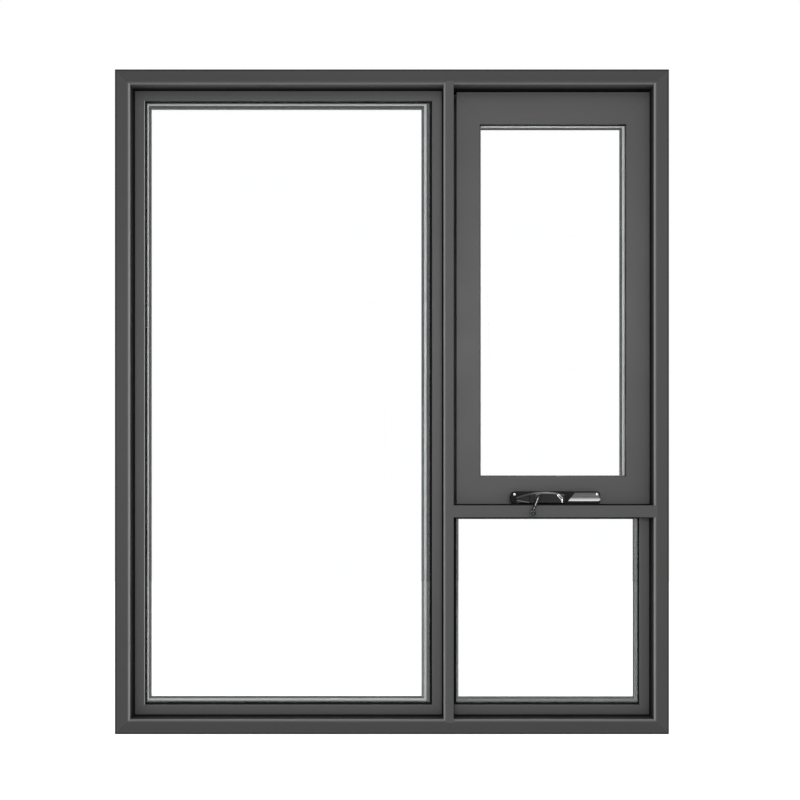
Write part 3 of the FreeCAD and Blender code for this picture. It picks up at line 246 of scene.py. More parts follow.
def grain_group() -> bpy.types.NodeTree:
    """Fine surface grain with broad, faint clouds: a height for bumps and a tone about zero."""
    n, given, out = new_group(GroupName.GRAIN, {"Scale": 1800.0, "Clouds": 9.0},
                              ("Height", "Tone"))
    fine = n.noise(given["Scale"], 2.0, 0.6)
    broad = n.noise(given["Clouds"], 4.0, 0.55)
    n.join(fine, out["Height"])
    both = n.plus(n.times(broad, BROAD_SHARE), n.times(fine, 1.0 - BROAD_SHARE))
    n.join(n.minus(both, 0.5), out["Tone"])
    return n.tree


def dust_group() -> bpy.types.NodeTree:
    """Dust that settles on what faces up, in uneven patches."""
    n, given, out = new_group(GroupName.DUST, {"Amount": 0.3, "Scale": 40.0}, ("Mask",))
    up = n.maths("POWER", n.maths("MAXIMUM", n.surface_normal()[2], 0.0), DUST_FALL)
    patches = n.noise(given["Scale"], 5.0, 0.65)
    mask = n.times(n.times(up, patches), given["Amount"], clamp=True)
    n.join(mask, out["Mask"])
    return n.tree


def recess_group() -> bpy.types.NodeTree:
    """Painted shade in the reveals: none at Near, full at Far, none behind Back or on the rim."""
    sizes = {"Near": -0.045, "Far": -0.02, "Back": 1.0, "Faces": 0.0, "Half Width": HALF_WIDTH,
             "Half Height": HALF_HEIGHT}
    n, given, out = new_group(GroupName.RECESS, sizes, ("Mask",))
    across, depth, height = n.object_place()
    ramp = n.add("ShaderNodeMapRange", interpolation_type="LINEAR")
    n.join(depth, ramp.inputs["Value"])
    n.join(given["Near"], ramp.inputs["From Min"])
    n.join(given["Far"], ramp.inputs["From Max"])
    sideways = n.maths("LESS_THAN", n.size(n.surface_normal()[1]), ALONG)
    half_height = given["Half Height"]
    gap = n.maths("MINIMUM", n.minus(given["Half Width"], n.size(across)),
                  n.minus(half_height, n.size(n.minus(height, half_height))))
    kept = n.times(n.maths("GREATER_THAN", gap, RIM_CLEAR),
                   n.maths("LESS_THAN", depth, given["Back"]))
    faces = n.times(n.maths("MAXIMUM", sideways, given["Faces"]), kept)
    n.join(n.times(ramp.outputs[0], faces), out["Mask"])
    return n.tree


def arris_group() -> bpy.types.NodeTree:
    """Marks of a mitred rectangle of members.

    Light is a painted highlight on the rounded edges turned inwards, Rim a painted shade
    along the outer edge, and Joint the dark hairlines where the members meet.
    """
    sizes = {"Sideways": 1.0, "Level": 1.0, "Middle X": 0.0, "Middle Z": HALF_HEIGHT,
             "Half Width": HALF_WIDTH, "Half Height": HALF_HEIGHT, "Joint": 0.0002}
    n, given, out = new_group(GroupName.ARRIS, sizes, ("Light", "Rim", "Joint"))
    place_x, _, place_z = n.object_place()
    across, facing, upward = n.surface_normal()
    aside = n.minus(place_x, given["Middle X"])
    height = n.minus(place_z, given["Middle Z"])
    front = n.maths("MAXIMUM", n.times(facing, -1.0), 0.0)
    turned = n.times(front, n.minus(1.0, front))
    edge = n.times(turned, ARRIS_GAIN, clamp=True)
    outward = n.plus(n.times(across, aside), n.times(upward, height))
    share = n.plus(n.times(n.size(across), given["Sideways"]),
                   n.times(n.size(upward), given["Level"]))
    inner = n.times(edge, n.maths("LESS_THAN", outward, 0.0))
    n.join(n.times(inner, share, clamp=True), out["Light"])
    side_gap = n.minus(given["Half Width"], n.size(aside))
    level_gap = n.minus(given["Half Height"], n.size(height))
    gap = n.maths("MINIMUM", side_gap, level_gap)
    fade = n.times(n.minus(gap, RIM_WIDTH), RIM_FADE, clamp=True)
    n.join(n.minus(1.0, fade), out["Rim"])
    across_joint = n.size(n.minus(side_gap, level_gap))
    joint = n.times(n.maths("LESS_THAN", across_joint, given["Joint"]),
                    n.maths("GREATER_THAN", front, FRONT_FACING))
    n.join(joint, out["Joint"])
    return n.tree


def sweep_group() -> bpy.types.NodeTree:
    """A painted reflection that fades with height, from full at Low to none at High."""
    n, given, out = new_group(GroupName.SWEEP, {"Low": 0.0, "High": 1.0}, ("Mask",))
    ramp = n.add("ShaderNodeMapRange", interpolation_type="SMOOTHSTEP")
    n.join(n.object_place()[2], ramp.inputs["Value"])
    n.join(given["High"], ramp.inputs["From Min"])
    n.join(given["Low"], ramp.inputs["From Max"])
    n.join(ramp.outputs[0], out["Mask"])
    return n.tree


GROUPS: dict[GroupName, bpy.types.NodeTree] = {
    GroupName.GRAIN: grain_group(),
    GroupName.DUST: dust_group(),
    GroupName.RECESS: recess_group(),
    GroupName.ARRIS: arris_group(),
    GroupName.SWEEP: sweep_group(),
}


# ---- Finishes ----
@dataclass(frozen=True)
class Finish:
    """A finish: colour, grain and dust, with painted reflection, highlights and shade if asked."""

    name: str
    colour: Colour
    roughness: float
    metallic: float = 0.0
    grain_scale: float = 1800.0
    grain_depth: float = 0.15
    grain_reach: float = 0.0002
    tone: float = 0.2
    dust: float = 0.05
    specular: float = 0.5
    # recess, recess_colour: painted shade with depth; recess_lift: a painted highlight before it
    recess: Optional[tuple[float, float]] = None
    recess_back: float = 1.0
    recess_faces: float = 0.0
    recess_colour: Colour = (0.002, 0.002, 0.002)
    recess_lift: Optional[Colour] = None
    # arris, arris_light: painted highlights on inward rounded edges, which glint gathers round one
    # place
    arris: Optional[tuple[float, float]] = None
    arris_light: Colour = (0.50, 0.50, 0.50)
    glint: Optional[tuple[float, float]] = None
    glint_floor: float = 0.3
    # rim: painted shade along the outer edge, in the dark colour that the dark joints use too
    rim: float = 0.0
    dark: Colour = (0.003, 0.003, 0.003)
    frame_node: Optional[tuple[str, str]] = None
    # sweep, sweep_colour: a painted reflection, brighter towards the bottom
    sweep: Optional[tuple[float, float]] = None
    sweep_colour: Colour = (0.5, 0.5, 0.5)
    dust_colour: Colour = (0.32, 0.31, 0.29)

    def build(self) -> bpy.types.Material:
        """Makes the material."""
        material, n, shader = new_material(self.name)
        n.fill(shader, {"Metallic": self.metallic, "Specular IOR Level": self.specular})
        grain = self._group(n, GroupName.GRAIN)
        n.fill(grain, {"Scale": self.grain_scale})
        dust = self._group(n, GroupName.DUST)
        n.fill(dust, {"Amount": self.dust})
        shade = n.plus(n.times(grain.outputs["Tone"], self.tone), 1.0)
        toned = self._blend(n, 1.0, self.colour, shade, "MULTIPLY")
        colour = self._blend(n, dust.outputs["Mask"], toned, self.dust_colour)
        # painted reflection, brighter towards the bottom
        if self.sweep is not None:
            sweep = self._group(n, GroupName.SWEEP)
            n.fill(sweep, dict(zip(("Low", "High"), self.sweep)))
            colour = self._blend(n, sweep.outputs["Mask"], colour, self.sweep_colour)
        if self.arris is not None:
            arris = self._group(n, GroupName.ARRIS)
            n.fill(arris, dict(zip(("Sideways", "Level"), self.arris)))
            # painted highlight on the inward rounded edges
            light = arris.outputs["Light"]
            if self.glint is not None:
                light = self._glint(n, light)
            colour = self._blend(n, light, colour, self.arris_light)
            # painted shade along the outer edge
            rim = n.times(arris.outputs["Rim"], self.rim)
            colour = self._blend(n, rim, colour, self.dark)
            joint = n.times(arris.outputs["Joint"], JOINT_SHADE)
            colour = self._blend(n, joint, colour, self.dark)
            if self.frame_node is not None:
                self._centre(arris)
        # painted highlight at the front of a reveal
        if self.recess_lift is not None:
            reveal = self._recess(n, (self.recess[0] - RECESS_LEAD, self.recess[0]))
            colour = self._blend(n, reveal.outputs["Mask"], colour, self.recess_lift)
        # painted shade: the recess colour takes over with depth
        if self.recess is not None:
            recess = self._recess(n, self.recess)
            colour = self._blend(n, recess.outputs["Mask"], colour, self.recess_colour)
        n.join(colour, shader.inputs["Base Color"])
        rough = n.plus(n.times(grain.outputs["Tone"], GRAIN_ROUGHNESS), self.roughness)
        # rougher where the recess shade is painted
        if self.recess is not None:
            rough = n.plus(rough, n.times(recess.outputs["Mask"], RECESS_SHADE_ROUGHNESS))
        dusty = n.plus(rough, n.times(dust.outputs["Mask"], DUST_ROUGHNESS), clamp=True)
        n.join(dusty, shader.inputs["Roughness"])
        bump = n.add("ShaderNodeBump")
        n.fill(bump, {"Strength": self.grain_depth, "Distance": self.grain_reach})
        n.join(grain.outputs["Height"], bump.inputs["Height"])
        n.join(bump.outputs["Normal"], shader.inputs["Normal"])
        return material

    def _centre(self, arris: bpy.types.Node) -> None:
        """Sets the rectangle that the arris group works from to the two nodes' box."""
        boxes = [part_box(node) for node in self.frame_node]
        for axis, middle, half in ((0, "Middle X", "Half Width"), (2, "Middle Z", "Half Height")):
            low = min(box[0][axis] for box in boxes)
            high = max(box[1][axis] for box in boxes)
            Nodes.fill(arris, {middle: (low + high) / 2, half: (high - low) / 2})

    def _recess(self, n: Nodes, depths: tuple[float, float]) -> bpy.types.Node:
        """Places the recess group, working between the two depths."""
        recess = self._group(n, GroupName.RECESS)
        n.fill(recess, {"Near": depths[0], "Far": depths[1], "Back": self.recess_back,
                        "Faces": self.recess_faces})
        return recess

    def _glint(self, n: Nodes, light: Socket) -> Socket:
        """Gathers the painted highlight of the arrises around one place along the piece."""
        middle, spread = self.glint
        away = n.size(n.minus(n.object_place()[0], middle))
        near = n.minus(1.0, n.maths("DIVIDE", away, spread), clamp=True)
        share = n.plus(n.times(near, 1.0 - self.glint_floor), self.glint_floor)
        return n.times(light, share)

    @staticmethod
    def _group(n: Nodes, name: GroupName) -> bpy.types.Node:
        """Places one of the shared groups."""
        return n.add("ShaderNodeGroup", node_tree=GROUPS[name])

    @staticmethod
    def _blend(n: Nodes, factor: object, a: object, b: object, kind: str = "MIX") -> Socket:
        """Mixes two colours, each a socket or three numbers, and returns the result."""
        node = n.add("ShaderNodeMix", data_type="RGBA", blend_type=kind)
        for value, socket in ((factor, node.inputs[0]), (a, node.inputs[6]), (b, node.inputs[7])):
            if isinstance(value, (int, float)):
                socket.default_value = value
            elif isinstance(value, tuple):
                socket.default_value = (*value, 1.0)
            else:
                n.join(value, socket)
        return node.outputs[2]


@dataclass(frozen=True)
class ClearGlass:
    """Float glass: clear, with a faint green cast."""

    name: str = "float_glass"
    colour: Colour = (0.998, 1.0, 0.999)
    ior: float = 1.5

    def build(self) -> bpy.types.Material:
        """Makes the material; lamps shine through it."""
        material, n, shader = new_material(self.name)
        n.fill(shader, {"Base Color": self.colour, "Roughness": 0.0, "IOR": self.ior,
                        "Transmission Weight": 1.0})
        clear = n.add("ShaderNodeBsdfTransparent")
        n.fill(clear, {"Color": self.colour})
        mixer = n.add("ShaderNodeMixShader")
        n.join(n.add("ShaderNodeLightPath").outputs["Is Shadow Ray"], mixer.inputs[0])
        n.join(shader.outputs[0], mixer.inputs[1])
        n.join(clear.outputs[0], mixer.inputs[2])
        n.join(mixer.outputs[0], material.node_tree.nodes["Material Output"].inputs["Surface"])
        return material


# One anthracite powder coat in lit and shaded copies, as painted light and shade: the members
# in the frame slot lightest, then the jambs and the lightened beads, the head and sill as dark as
# the sash.
ANTHRACITE: Colour = (0.0590, 0.0580, 0.0580)
FRAME_LIT_GREY: Colour = (0.0970, 0.0953, 0.0953)
JAMB_SHADED_GREY: Colour = (0.0720, 0.0706, 0.0706)
RAIL_SHADED_GREY: Colour = (0.0600, 0.0590, 0.0590)
BEAD_LIT_GREY: Colour = (0.068, 0.067, 0.067)
# depths over which painted shade darkens the reveals
REVEAL = (-0.050, -0.010)
ENAMEL: Colour = (0.010, 0.010, 0.0105)
RUBBER: Colour = (0.004, 0.004, 0.004)
LIGHT_BEADS = ("left_bead_left", "left_bead_right")
LOWER_BEADS = ("lower_bead_right", "lower_bead_bottom")
SASH_FACE = ("sash_stile_left", "sash_rail_top")
MATT = 0.46


def coat(name: str, colour: Colour, arris: tuple[float, float], **values: object) -> Finish:
    """A matt powder coat, with painted shade in the reveals and painted arris highlights."""
    return Finish(name, colour, MATT, specular=0.25, recess=REVEAL, recess_back=0.034, arris=arris,
                  **values)


FINISHES: dict[str, Finish | ClearGlass] = {
    # frame coats: painted highlights on their inward lips; jambs, head and sill painted shade on
    # the rim
    "frame": coat("anthracite_lit_powder_coat", FRAME_LIT_GREY, (0.9, 0.5)),
    "jamb": coat("anthracite_jamb_shaded_coat", JAMB_SHADED_GREY, (1.0, 0.5), rim=0.9),
    "rail": coat("anthracite_rail_shaded_coat", RAIL_SHADED_GREY, (0.8, 0.55), rim=0.9),
    # the head's reveal: a painted highlight at its front, then painted shade
    "head": coat("anthracite_head_shaded_coat", RAIL_SHADED_GREY, (0.8, 0.5), rim=0.9,
                 recess_lift=(0.20, 0.20, 0.20)),
    # painted highlights on the beads' rounded inner edges, strongest on the left bead's, as lit
    # from the right
    "bead": Finish("anthracite_bead_coat", BEAD_LIT_GREY, MATT, arris=(0.3, 0.0),
                   frame_node=LIGHT_BEADS),
    "bead_left": Finish("anthracite_bead_lit_edge_coat", BEAD_LIT_GREY, MATT, arris=(1.0, 0.0),
                        arris_light=(0.7, 0.7, 0.7), frame_node=LIGHT_BEADS),
    "bead_lower": Finish("anthracite_lower_bead_coat", BEAD_LIT_GREY, MATT, arris=(0.25, 0.0),
                         frame_node=LOWER_BEADS),
    "leaf": Finish("anthracite_sash_coat", ANTHRACITE, 0.44, arris=(0.0, 0.0),
                   frame_node=SASH_FACE),
    # the adaptors' front, seen in the groove by the beads, is painted black: painted shade
    "adaptor": Finish("anthracite_adaptor_coat", ANTHRACITE, 0.5, specular=0.3,
                      recess=(0.012, 0.010), recess_faces=1.0, recess_colour=RUBBER),
    "gasket": Finish("black_gasket_rubber", RUBBER, 0.8, specular=0.15, dust=0.04),
    "seal": Finish("edge_sealant", (0.006, 0.006, 0.006), 0.7, grain_scale=500.0, specular=0.2),
    "spacer": Finish("spacer_aluminium", (0.25, 0.265, 0.27), 0.4, metallic=0.1, grain_depth=0.02,
                     tone=0.05),
    "spacer_dull": Finish("dull_spacer", (0.055, 0.070, 0.068), 0.5, grain_depth=0.02, tone=0.05),
    "glass": ClearGlass(),
    "cleat": Finish("cast_aluminium", (0.5, 0.5, 0.51), 0.5, metallic=0.9),
    "block": Finish("packer_plastic", (0.03, 0.03, 0.03), 0.5),
    "hinge": Finish("anodised_aluminium", (0.35, 0.35, 0.36), 0.35, metallic=0.9),
    # painted highlight on upward bevels, round the arch; the recess takes it off what lies behind
    # the dome
    "winder": Finish("black_enamel", ENAMEL, 0.3, grain_depth=0.04, specular=0.2,
                     dust=0.02, tone=0.1, arris=(0.0, 1.6), arris_light=(0.38, 0.38, 0.38),
                     glint=(0.420, 0.045), glint_floor=0.18,
                     recess=(-0.0398, -0.0388), recess_faces=1.0, recess_colour=ENAMEL),
    # painted highlight on the knob's upper rounded edges
    "knob": Finish("knob_enamel", (0.005, 0.005, 0.005), 0.5, grain_depth=0.04, specular=0.05,
                   dust=0.0, tone=0.1, arris=(0.2, 1.2), arris_light=(0.7, 0.7, 0.7)),
    # painted highlight, laid on the thumb hollow's lower lip
    "lip_highlight": Finish("enamel_lip_highlight", (0.25, 0.25, 0.25), 0.32, grain_depth=0.04, tone=0.1),
    "cap": Finish("knob_cap_enamel", (0.13, 0.13, 0.13), 0.4, grain_depth=0.04, tone=0.1),
    # painted reflection brightening the cover towards its lower lip
    "cover": Finish("brushed_cover_metal", (0.075, 0.075, 0.077), 0.44, metallic=1.0,
                    grain_depth=0.04, sweep=(0.630, 0.642), sweep_colour=(0.8, 0.8, 0.8)),
    "bracket": Finish("black_plated_steel", (0.012, 0.012, 0.012), 0.6, specular=0.2),
    "steel": Finish("zinc_plated_steel", (0.55, 0.55, 0.56), 0.25, metallic=1.0, grain_depth=0.05),
    "bright": Finish("polished_steel", (0.60, 0.60, 0.60), 0.2, metallic=1.0, grain_depth=0.03),
    "rib": Finish("polished_arm_edge", (0.29, 0.29, 0.29), 0.22, metallic=1.0, grain_depth=0.03),
    # darker inside the housing: partly grease, partly painted shade
    "chain": Finish("chain_steel", (0.33, 0.33, 0.34), 0.32, metallic=1.0, recess=(-0.016, -0.018),
                    recess_faces=1.0, recess_colour=(0.02, 0.02, 0.02)),
}
MATERIALS: dict[str, bpy.types.Material] = {key: finish.build() for key, finish in FINISHES.items()}
OWN_FINISH: dict[str, str] = {node: key for key, nodes in {
    "leaf": ("sash_stile_left", "sash_stile_right", "sash_rail_top", "sash_rail_bottom",
             "sash_outer_beads"),
    "jamb": ("frame_jamb_left", "frame_jamb_right"),
    "head": ("frame_head",),
    "rail": ("frame_sill",),
    "adaptor": ("left_adaptors", "lower_adaptors"),
    "bead_left": ("left_bead_left",),
    "bead": ("left_bead_right", "left_bead_top", "left_bead_bottom"),
    "bead_lower": ("lower_bead_right", "lower_bead_bottom"),
    "cover": ("winder_end_cover",),
    # black: partly their own colour, partly painted shade under the housing
    "bracket": ("winder_bracket", "crown_gear"),
}.items() for node in nodes}


def dress_nodes() -> None:
    """Gives each CAD node the finish of its slot, or its own."""
    slot_of = {part["node"]: part["material_slot"] for part in frame["record"]["subparts"]}
    for name, node in frame["nodes"].items():
        key = OWN_FINISH.get(name, slot_of[name])
        node.data.materials.clear()
        node.data.materials.append(MATERIALS[key])


# ---- Modelling ----
def pick_faces(piece: bpy.types.Object, test: Test) -> None:
    """Selects faces and nothing else.

    Args:
        piece: the piece, in edit mode.
        test: says whether a face is wanted, from its middle and its normal.
    """
    bpy.ops.mesh.select_mode(type="FACE")
    bpy.ops.mesh.select_all(action="DESELECT")
    mesh = bmesh.from_edit_mesh(piece.data)
    mesh.normal_update()
    for face in mesh.faces:
        face.select_set(test(face.calc_center_median(), face.normal))
    bmesh.update_edit_mesh(piece.data)


def pick_edges(piece: bpy.types.Object, test: Test) -> None:
    """Selects edges and nothing else.

    Args:
        piece: the piece, in edit mode.
        test: says whether an edge is wanted, from its middle and its direction.
    """
    bpy.ops.mesh.select_mode(type="EDGE")
    bpy.ops.mesh.select_all(action="DESELECT")
    mesh = bmesh.from_edit_mesh(piece.data)
    for edge in mesh.edges:
        first, second = (corner.co for corner in edge.verts)
        edge.select_set(test((first + second) / 2, (second - first).normalized()))
    bmesh.update_edit_mesh(piece.data)


def named(piece: bpy.types.Object, name: str) -> bpy.types.Object:
    """Names a piece and its mesh."""
    piece.name = piece.data.name = name
    return piece


def only(piece: bpy.types.Object, *others: bpy.types.Object) -> None:
    """Selects a piece, with any others, and makes it the active one."""
    deselect()
    for each in (*others, piece):
        each.select_set(True)
    bpy.context.view_layer.objects.active = piece


def begin(name: str) -> bpy.types.Object:
    """Names the shape that was just added, and opens it in edit mode with all of it selected."""
    piece = named(bpy.context.object, name)
    bpy.ops.object.transform_apply(location=False, rotation=True, scale=False)
    bpy.ops.object.mode_set(mode="EDIT")
    bpy.ops.mesh.select_all(action="SELECT")
    return piece


def block(name: str, low: Point, high: Point) -> bpy.types.Object:
    """Starts a piece as a block, and leaves it in edit mode.

    Args:
        name: the piece's name.
        low: its lowest corner.
        high: its highest corner.

    Returns:
        The piece.
    """
    deselect()
    bpy.ops.mesh.primitive_cube_add(size=1.0)
    piece = begin(name)
    bpy.ops.transform.resize(value=tuple(b - a for a, b in zip(low, high)))
    bpy.ops.transform.translate(value=tuple((a + b) / 2 for a, b in zip(low, high)))
    return piece


def rod(name: str, middle: Point, radius: float, depth: float, sides: int,
        along: str) -> bpy.types.Object:
    """Starts a piece as a round rod, and leaves it in edit mode.

    Args:
        name: the piece's name.
        middle: its middle.
        radius: its radius.
        depth: its length.
        sides: how many sides it has.
        along: the axis it lies along, Y or Z.

    Returns:
        The piece.
    """
    deselect()
    bpy.ops.mesh.primitive_cylinder_add(vertices=sides, radius=radius, depth=depth,
                                        rotation=UPRIGHT if along == "Y" else (0, 0, 0))
    piece = begin(name)
    bpy.ops.transform.translate(value=middle)
    return piece


def ring(name: str, outer: Rect, inner: Rect, front: float, back: float) -> bpy.types.Object:
    """Starts a piece as an upright rectangular ring, and leaves it in edit mode.

    Args:
        name: the piece's name.
        outer: the outline's left, bottom, right and top.
        inner: the opening's left, bottom, right and top.
        front: the depth of its front.
        back: the depth of its back.

    Returns:
        The piece.
    """
    deselect()
    bpy.ops.mesh.primitive_plane_add(size=1.0, rotation=UPRIGHT)
    piece = begin(name)
    for number, (left, bottom, right, top) in enumerate((outer, inner)):
        if number:
            bpy.ops.mesh.primitive_plane_add(size=1.0, rotation=UPRIGHT)
        bpy.ops.transform.resize(value=(right - left, 1.0, top - bottom))
        bpy.ops.transform.translate(value=((left + right) / 2, front, (bottom + top) / 2))
    bpy.ops.mesh.select_all(action="SELECT")
    bpy.ops.mesh.delete(type="ONLY_FACE")
    bpy.ops.mesh.select_all(action="SELECT")
    bpy.ops.mesh.bridge_edge_loops()
    bpy.ops.mesh.select_all(action="SELECT")
    bpy.ops.mesh.extrude_region_move(TRANSFORM_OT_translate={"value": (0.0, back - front, 0.0)})
    bpy.ops.mesh.select_all(action="SELECT")
    bpy.ops.mesh.normals_make_consistent(inside=False)
    return piece


def round_edges(piece: bpy.types.Object, width: float, segments: int, test: Test) -> None:
    """Rounds the edges that a test picks.

    Args:
        piece: the piece, in edit mode.
        width: how wide the rounding is.
        segments: how many faces it is made of.
        test: says whether an edge is wanted, from its middle and its direction.
    """
    pick_edges(piece, test)
    bpy.ops.mesh.bevel(offset=width, offset_type="OFFSET", segments=segments, affect="EDGES")


def place(piece: bpy.types.Object, finish: str, body: Optional[str], slot: str,
          *nodes: str) -> None:
    """Finishes a piece: closes its mesh, gives it its material and puts it on its body.

    Args:
        piece: the piece, in edit mode or out of it.
        finish: the finish's key.
        body: the body that it rides on, or None for a piece left on no body.
        slot: the record's material slot; not used.
        nodes: the nodes it stands for.
    """
    only(piece)
    bpy.ops.object.mode_set(mode="EDIT")
    bpy.ops.mesh.select_all(action="SELECT")
    bpy.ops.mesh.remove_doubles(threshold=WELD)
    bpy.ops.mesh.normals_make_consistent(inside=False)
    bpy.ops.object.mode_set(mode="OBJECT")
    bpy.ops.object.shade_smooth_by_angle(angle=SMOOTH_ANGLE)
    piece.data.materials.clear()
    piece.data.materials.append(MATERIALS[finish])
    if body is not None:
        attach(piece, body)
    if nodes:
        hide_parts(*nodes)
    LOG.info("%s: %d faces on %s", piece.name, len(piece.data.polygons), body or "a blend")


def inset_rect(rect: Rect, widths: Rect) -> Rect:
    """Moves a rectangle's four sides inwards."""
    left, bottom, right, top = rect
    return (left + widths[0], bottom + widths[1], right - widths[2], top - widths[3])


def rect_of(node: str) -> Rect:
    """The left, bottom, right and top of a node."""
    low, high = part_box(node)
    return (low.x, low.z, high.x, high.z)


def middle_of(node: str) -> Vector:
    """The middle of a node's box."""
    low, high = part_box(node)
    return (low + high) / 2


def turn_and_move(piece: bpy.types.Object, angle: float, spot: Vector) -> None:
    """Leaves edit mode, turns a piece about the Y axis through the origin, then moves it.

    Args:
        piece: the piece.
        angle: how far it turns, in radians.
        spot: where its origin goes.
    """
    only(piece)
    piece.rotation_euler = (0.0, angle, 0.0)
    piece.location = spot
    bpy.ops.object.transform_apply(location=True, rotation=True, scale=False)


def copy_of(piece: bpy.types.Object) -> bpy.types.Object:
    """Copies a piece, with a mesh of its own."""
    other = piece.copy()
    other.data = piece.data.copy()
    bpy.context.scene.collection.objects.link(other)
    return other


def join(piece: bpy.types.Object, other: bpy.types.Object) -> None:
    """Makes another piece part of this one."""
    only(piece, other)
    bpy.ops.object.join()


# ---- Glass units ----
@dataclass
class GlassUnit:
    """The spacer and the rubber round one glass unit; widths run left, bottom, right, top."""

    name: str
    body: str
    opening: Rect
    rubber: Rect
    band: Rect
    bar: Rect
    outer: Rect
    bar_finish: str = "spacer"
    bar_depth: float = 0.0016
    rubber_round: float = 0.0009
    bar_round: float = 0.0008
    clearance: float = 0.0001

    def build(self) -> None:
        """Makes the spacer's dark band, its bright bar and the two gaskets."""
        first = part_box(self.name + "_pane_inner")[1].y + self.clearance
        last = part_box(self.name + "_pane_outer")[0].y - self.clearance
        outline = rect_of(self.name + "_spacer")
        sight = inset_rect(self.opening, self.band)
        inner = inset_rect(self.opening, self.bar)
        bar = ring(self.name + "_spacer_bar", sight, inner, first, first + self.bar_depth)
        round_edges(bar, self.bar_round / 2, 2,
                    lambda middle, way: abs(way.y) < ALONG and middle.y < first + self.clearance)
        place(bar, self.bar_finish, self.body, "spacer")
        band = ring(self.name + "_spacer_band", outline, inner, first + self.bar_depth, last)
        pick_faces(band, lambda middle, normal: abs(normal.y) > ALONG)
        bpy.ops.mesh.inset(thickness=self.bar_round, depth=0.0)
        place(band, "seal", self.body, "seal", self.name + "_spacer")
        edge = ring(self.name + "_spacer_edge", outline, sight, first, first + self.bar_depth)
        round_edges(edge, self.clearance, 1, lambda middle, way: middle.y < first + self.clearance)
        place(edge, "seal", self.body, "seal")
        self.gasket("_gasket_inner", inset_rect(self.opening, self.rubber))
        self.gasket("_gasket_outer", inset_rect(self.opening, self.outer))

    def gasket(self, part: str, sight: Rect) -> None:
        """Makes a gasket with a rounded lip, in the place of the plain one.

        Args:
            part: the node's last words.
            sight: the opening inside it.
        """
        node = self.name + part
        low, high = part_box(node)
        outer = rect_of(node)
        rubber = ring(node + "_lip", outer, sight, low.y, high.y)
        away = low.y if part.endswith("inner") else high.y
        round_edges(rubber, self.rubber_round, 3,
                    lambda middle, way: abs(way.y) < ALONG
                    and abs(middle.y - away) < self.clearance and self._inside(middle, outer))
        place(rubber, "gasket", self.body, "gasket", node)

    def _inside(self, middle: Vector, outer: Rect) -> bool:
        """Whether a place is clear of an outline's own sides."""
        left, bottom, right, top = outer
        gap = min(middle.x - left, right - middle.x, middle.z - bottom, top - middle.z)
        return gap > self.clearance


# ---- Winder ----
@dataclass
class Crank:
    """What shows of the folding crank besides its arm: bright ribs and a fluted, capped knob."""

    rib: tuple[float, float] = (0.0015, 0.0255)
    rib_end: tuple[float, float] = (0.0300, 0.0355)
    rib_width: float = 0.0021
    rib_sink: float = 0.0006
    rib_proud: float = 0.0004
    end_round: float = 0.98
    knob_sides: int = 40
    flute: float = 0.0004
    rim: float = 0.0020
    face_width: float = 0.0004
    face_sink: float = 0.0008
    waist: float = 0.78
    side_facing: float = 0.2
    cap_radius: float = 0.0022
    cap_round: float = 0.0004

    def build(self) -> None:
        """Makes the pieces."""
        self.bar("crank_arm_rib", self.rib)
        self.bar("crank_arm_rib_end", self.rib_end)
        self.knob()
        self.cap()

    def bar(self, name: str, along: tuple[float, float]) -> None:
        """Lays a rounded rib on the front of the arm.

        Args:
            name: the piece's name.
            along: how far from the hub it starts and ends.
        """
        hub, knob = middle_of("crank_spindle"), middle_of("crank_knob")
        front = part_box("crank_knob")[1].y + self.rib_sink - self.rib_proud
        half = self.rib_width / 2
        rib = block(name, (-half, front - self.rib_proud, -along[1]),
                    (half, front + self.rib_sink, -along[0]))
        round_edges(rib, half * self.end_round, 5, lambda middle, way: abs(way.y) > ALONG)
        round_edges(rib, self.rib_proud, 2,
                    lambda middle, way: middle.y < front - self.rib_proud * FRONT_SHARE)
        turn_and_move(rib, math.atan2(hub.x - knob.x, hub.z - knob.z), Vector((hub.x, 0.0, hub.z)))
        place(rib, "rib", "crank_arm", "winder")

    def knob(self) -> None:
        """Turns the knob: fluted sides, a rounded rim and a dished face."""
        low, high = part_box("crank_knob")
        middle = (low + high) / 2
        knob = rod("crank_knob_grip", middle, (high.z - low.z) / 2, high.y - low.y,
                   self.knob_sides, "Y")
        pick_edges(knob, lambda spot, way: spot.y > high.y - self.flute and abs(way.y) < ALONG)
        bpy.ops.transform.resize(value=(self.waist, 1.0, self.waist),
                                 center_override=(middle.x, high.y, middle.z))
        round_edges(knob, self.rim, 3,
                    lambda spot, way: spot.y < low.y + self.flute and abs(way.y) < ALONG)
        step = 2 * math.pi / self.knob_sides
        pick_faces(knob, lambda spot, normal: abs(normal.y) < self.side_facing and int(
            (math.atan2(spot.z - middle.z, spot.x - middle.x) + math.pi) / step) % 2 == 0)
        bpy.ops.mesh.inset(thickness=self.flute / 2, depth=-self.flute, use_individual=True)
        pick_faces(knob, lambda spot, normal: normal.y < -FLAT and spot.y < low.y + self.flute)
        bpy.ops.mesh.inset(thickness=self.face_width, depth=0.0)
        bpy.ops.mesh.inset(thickness=self.flute, depth=-self.face_sink)
        place(knob, "knob", "crank_knob", "winder", "crank_knob")

    def cap(self) -> None:
        """Sets the rounded cap, with its small dimple, in the knob's dished face."""
        low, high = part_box("crank_knob")
        middle = (low + high) / 2
        cap = rod("crank_knob_cap", (middle.x, low.y + self.face_sink, middle.z), self.cap_radius,
                  self.face_sink, self.knob_sides, "Y")
        round_edges(cap, self.cap_round, 3,
                    lambda spot, way: spot.y < low.y + self.face_sink and abs(way.y) < ALONG)
        pick_faces(cap, lambda spot, normal: normal.y < -FLAT)
        bpy.ops.mesh.inset(thickness=self.cap_radius / 3, depth=0.0)
        bpy.ops.mesh.inset(thickness=self.cap_round, depth=-self.cap_round / 2)
        place(cap, "cap", "crank_knob", "winder")


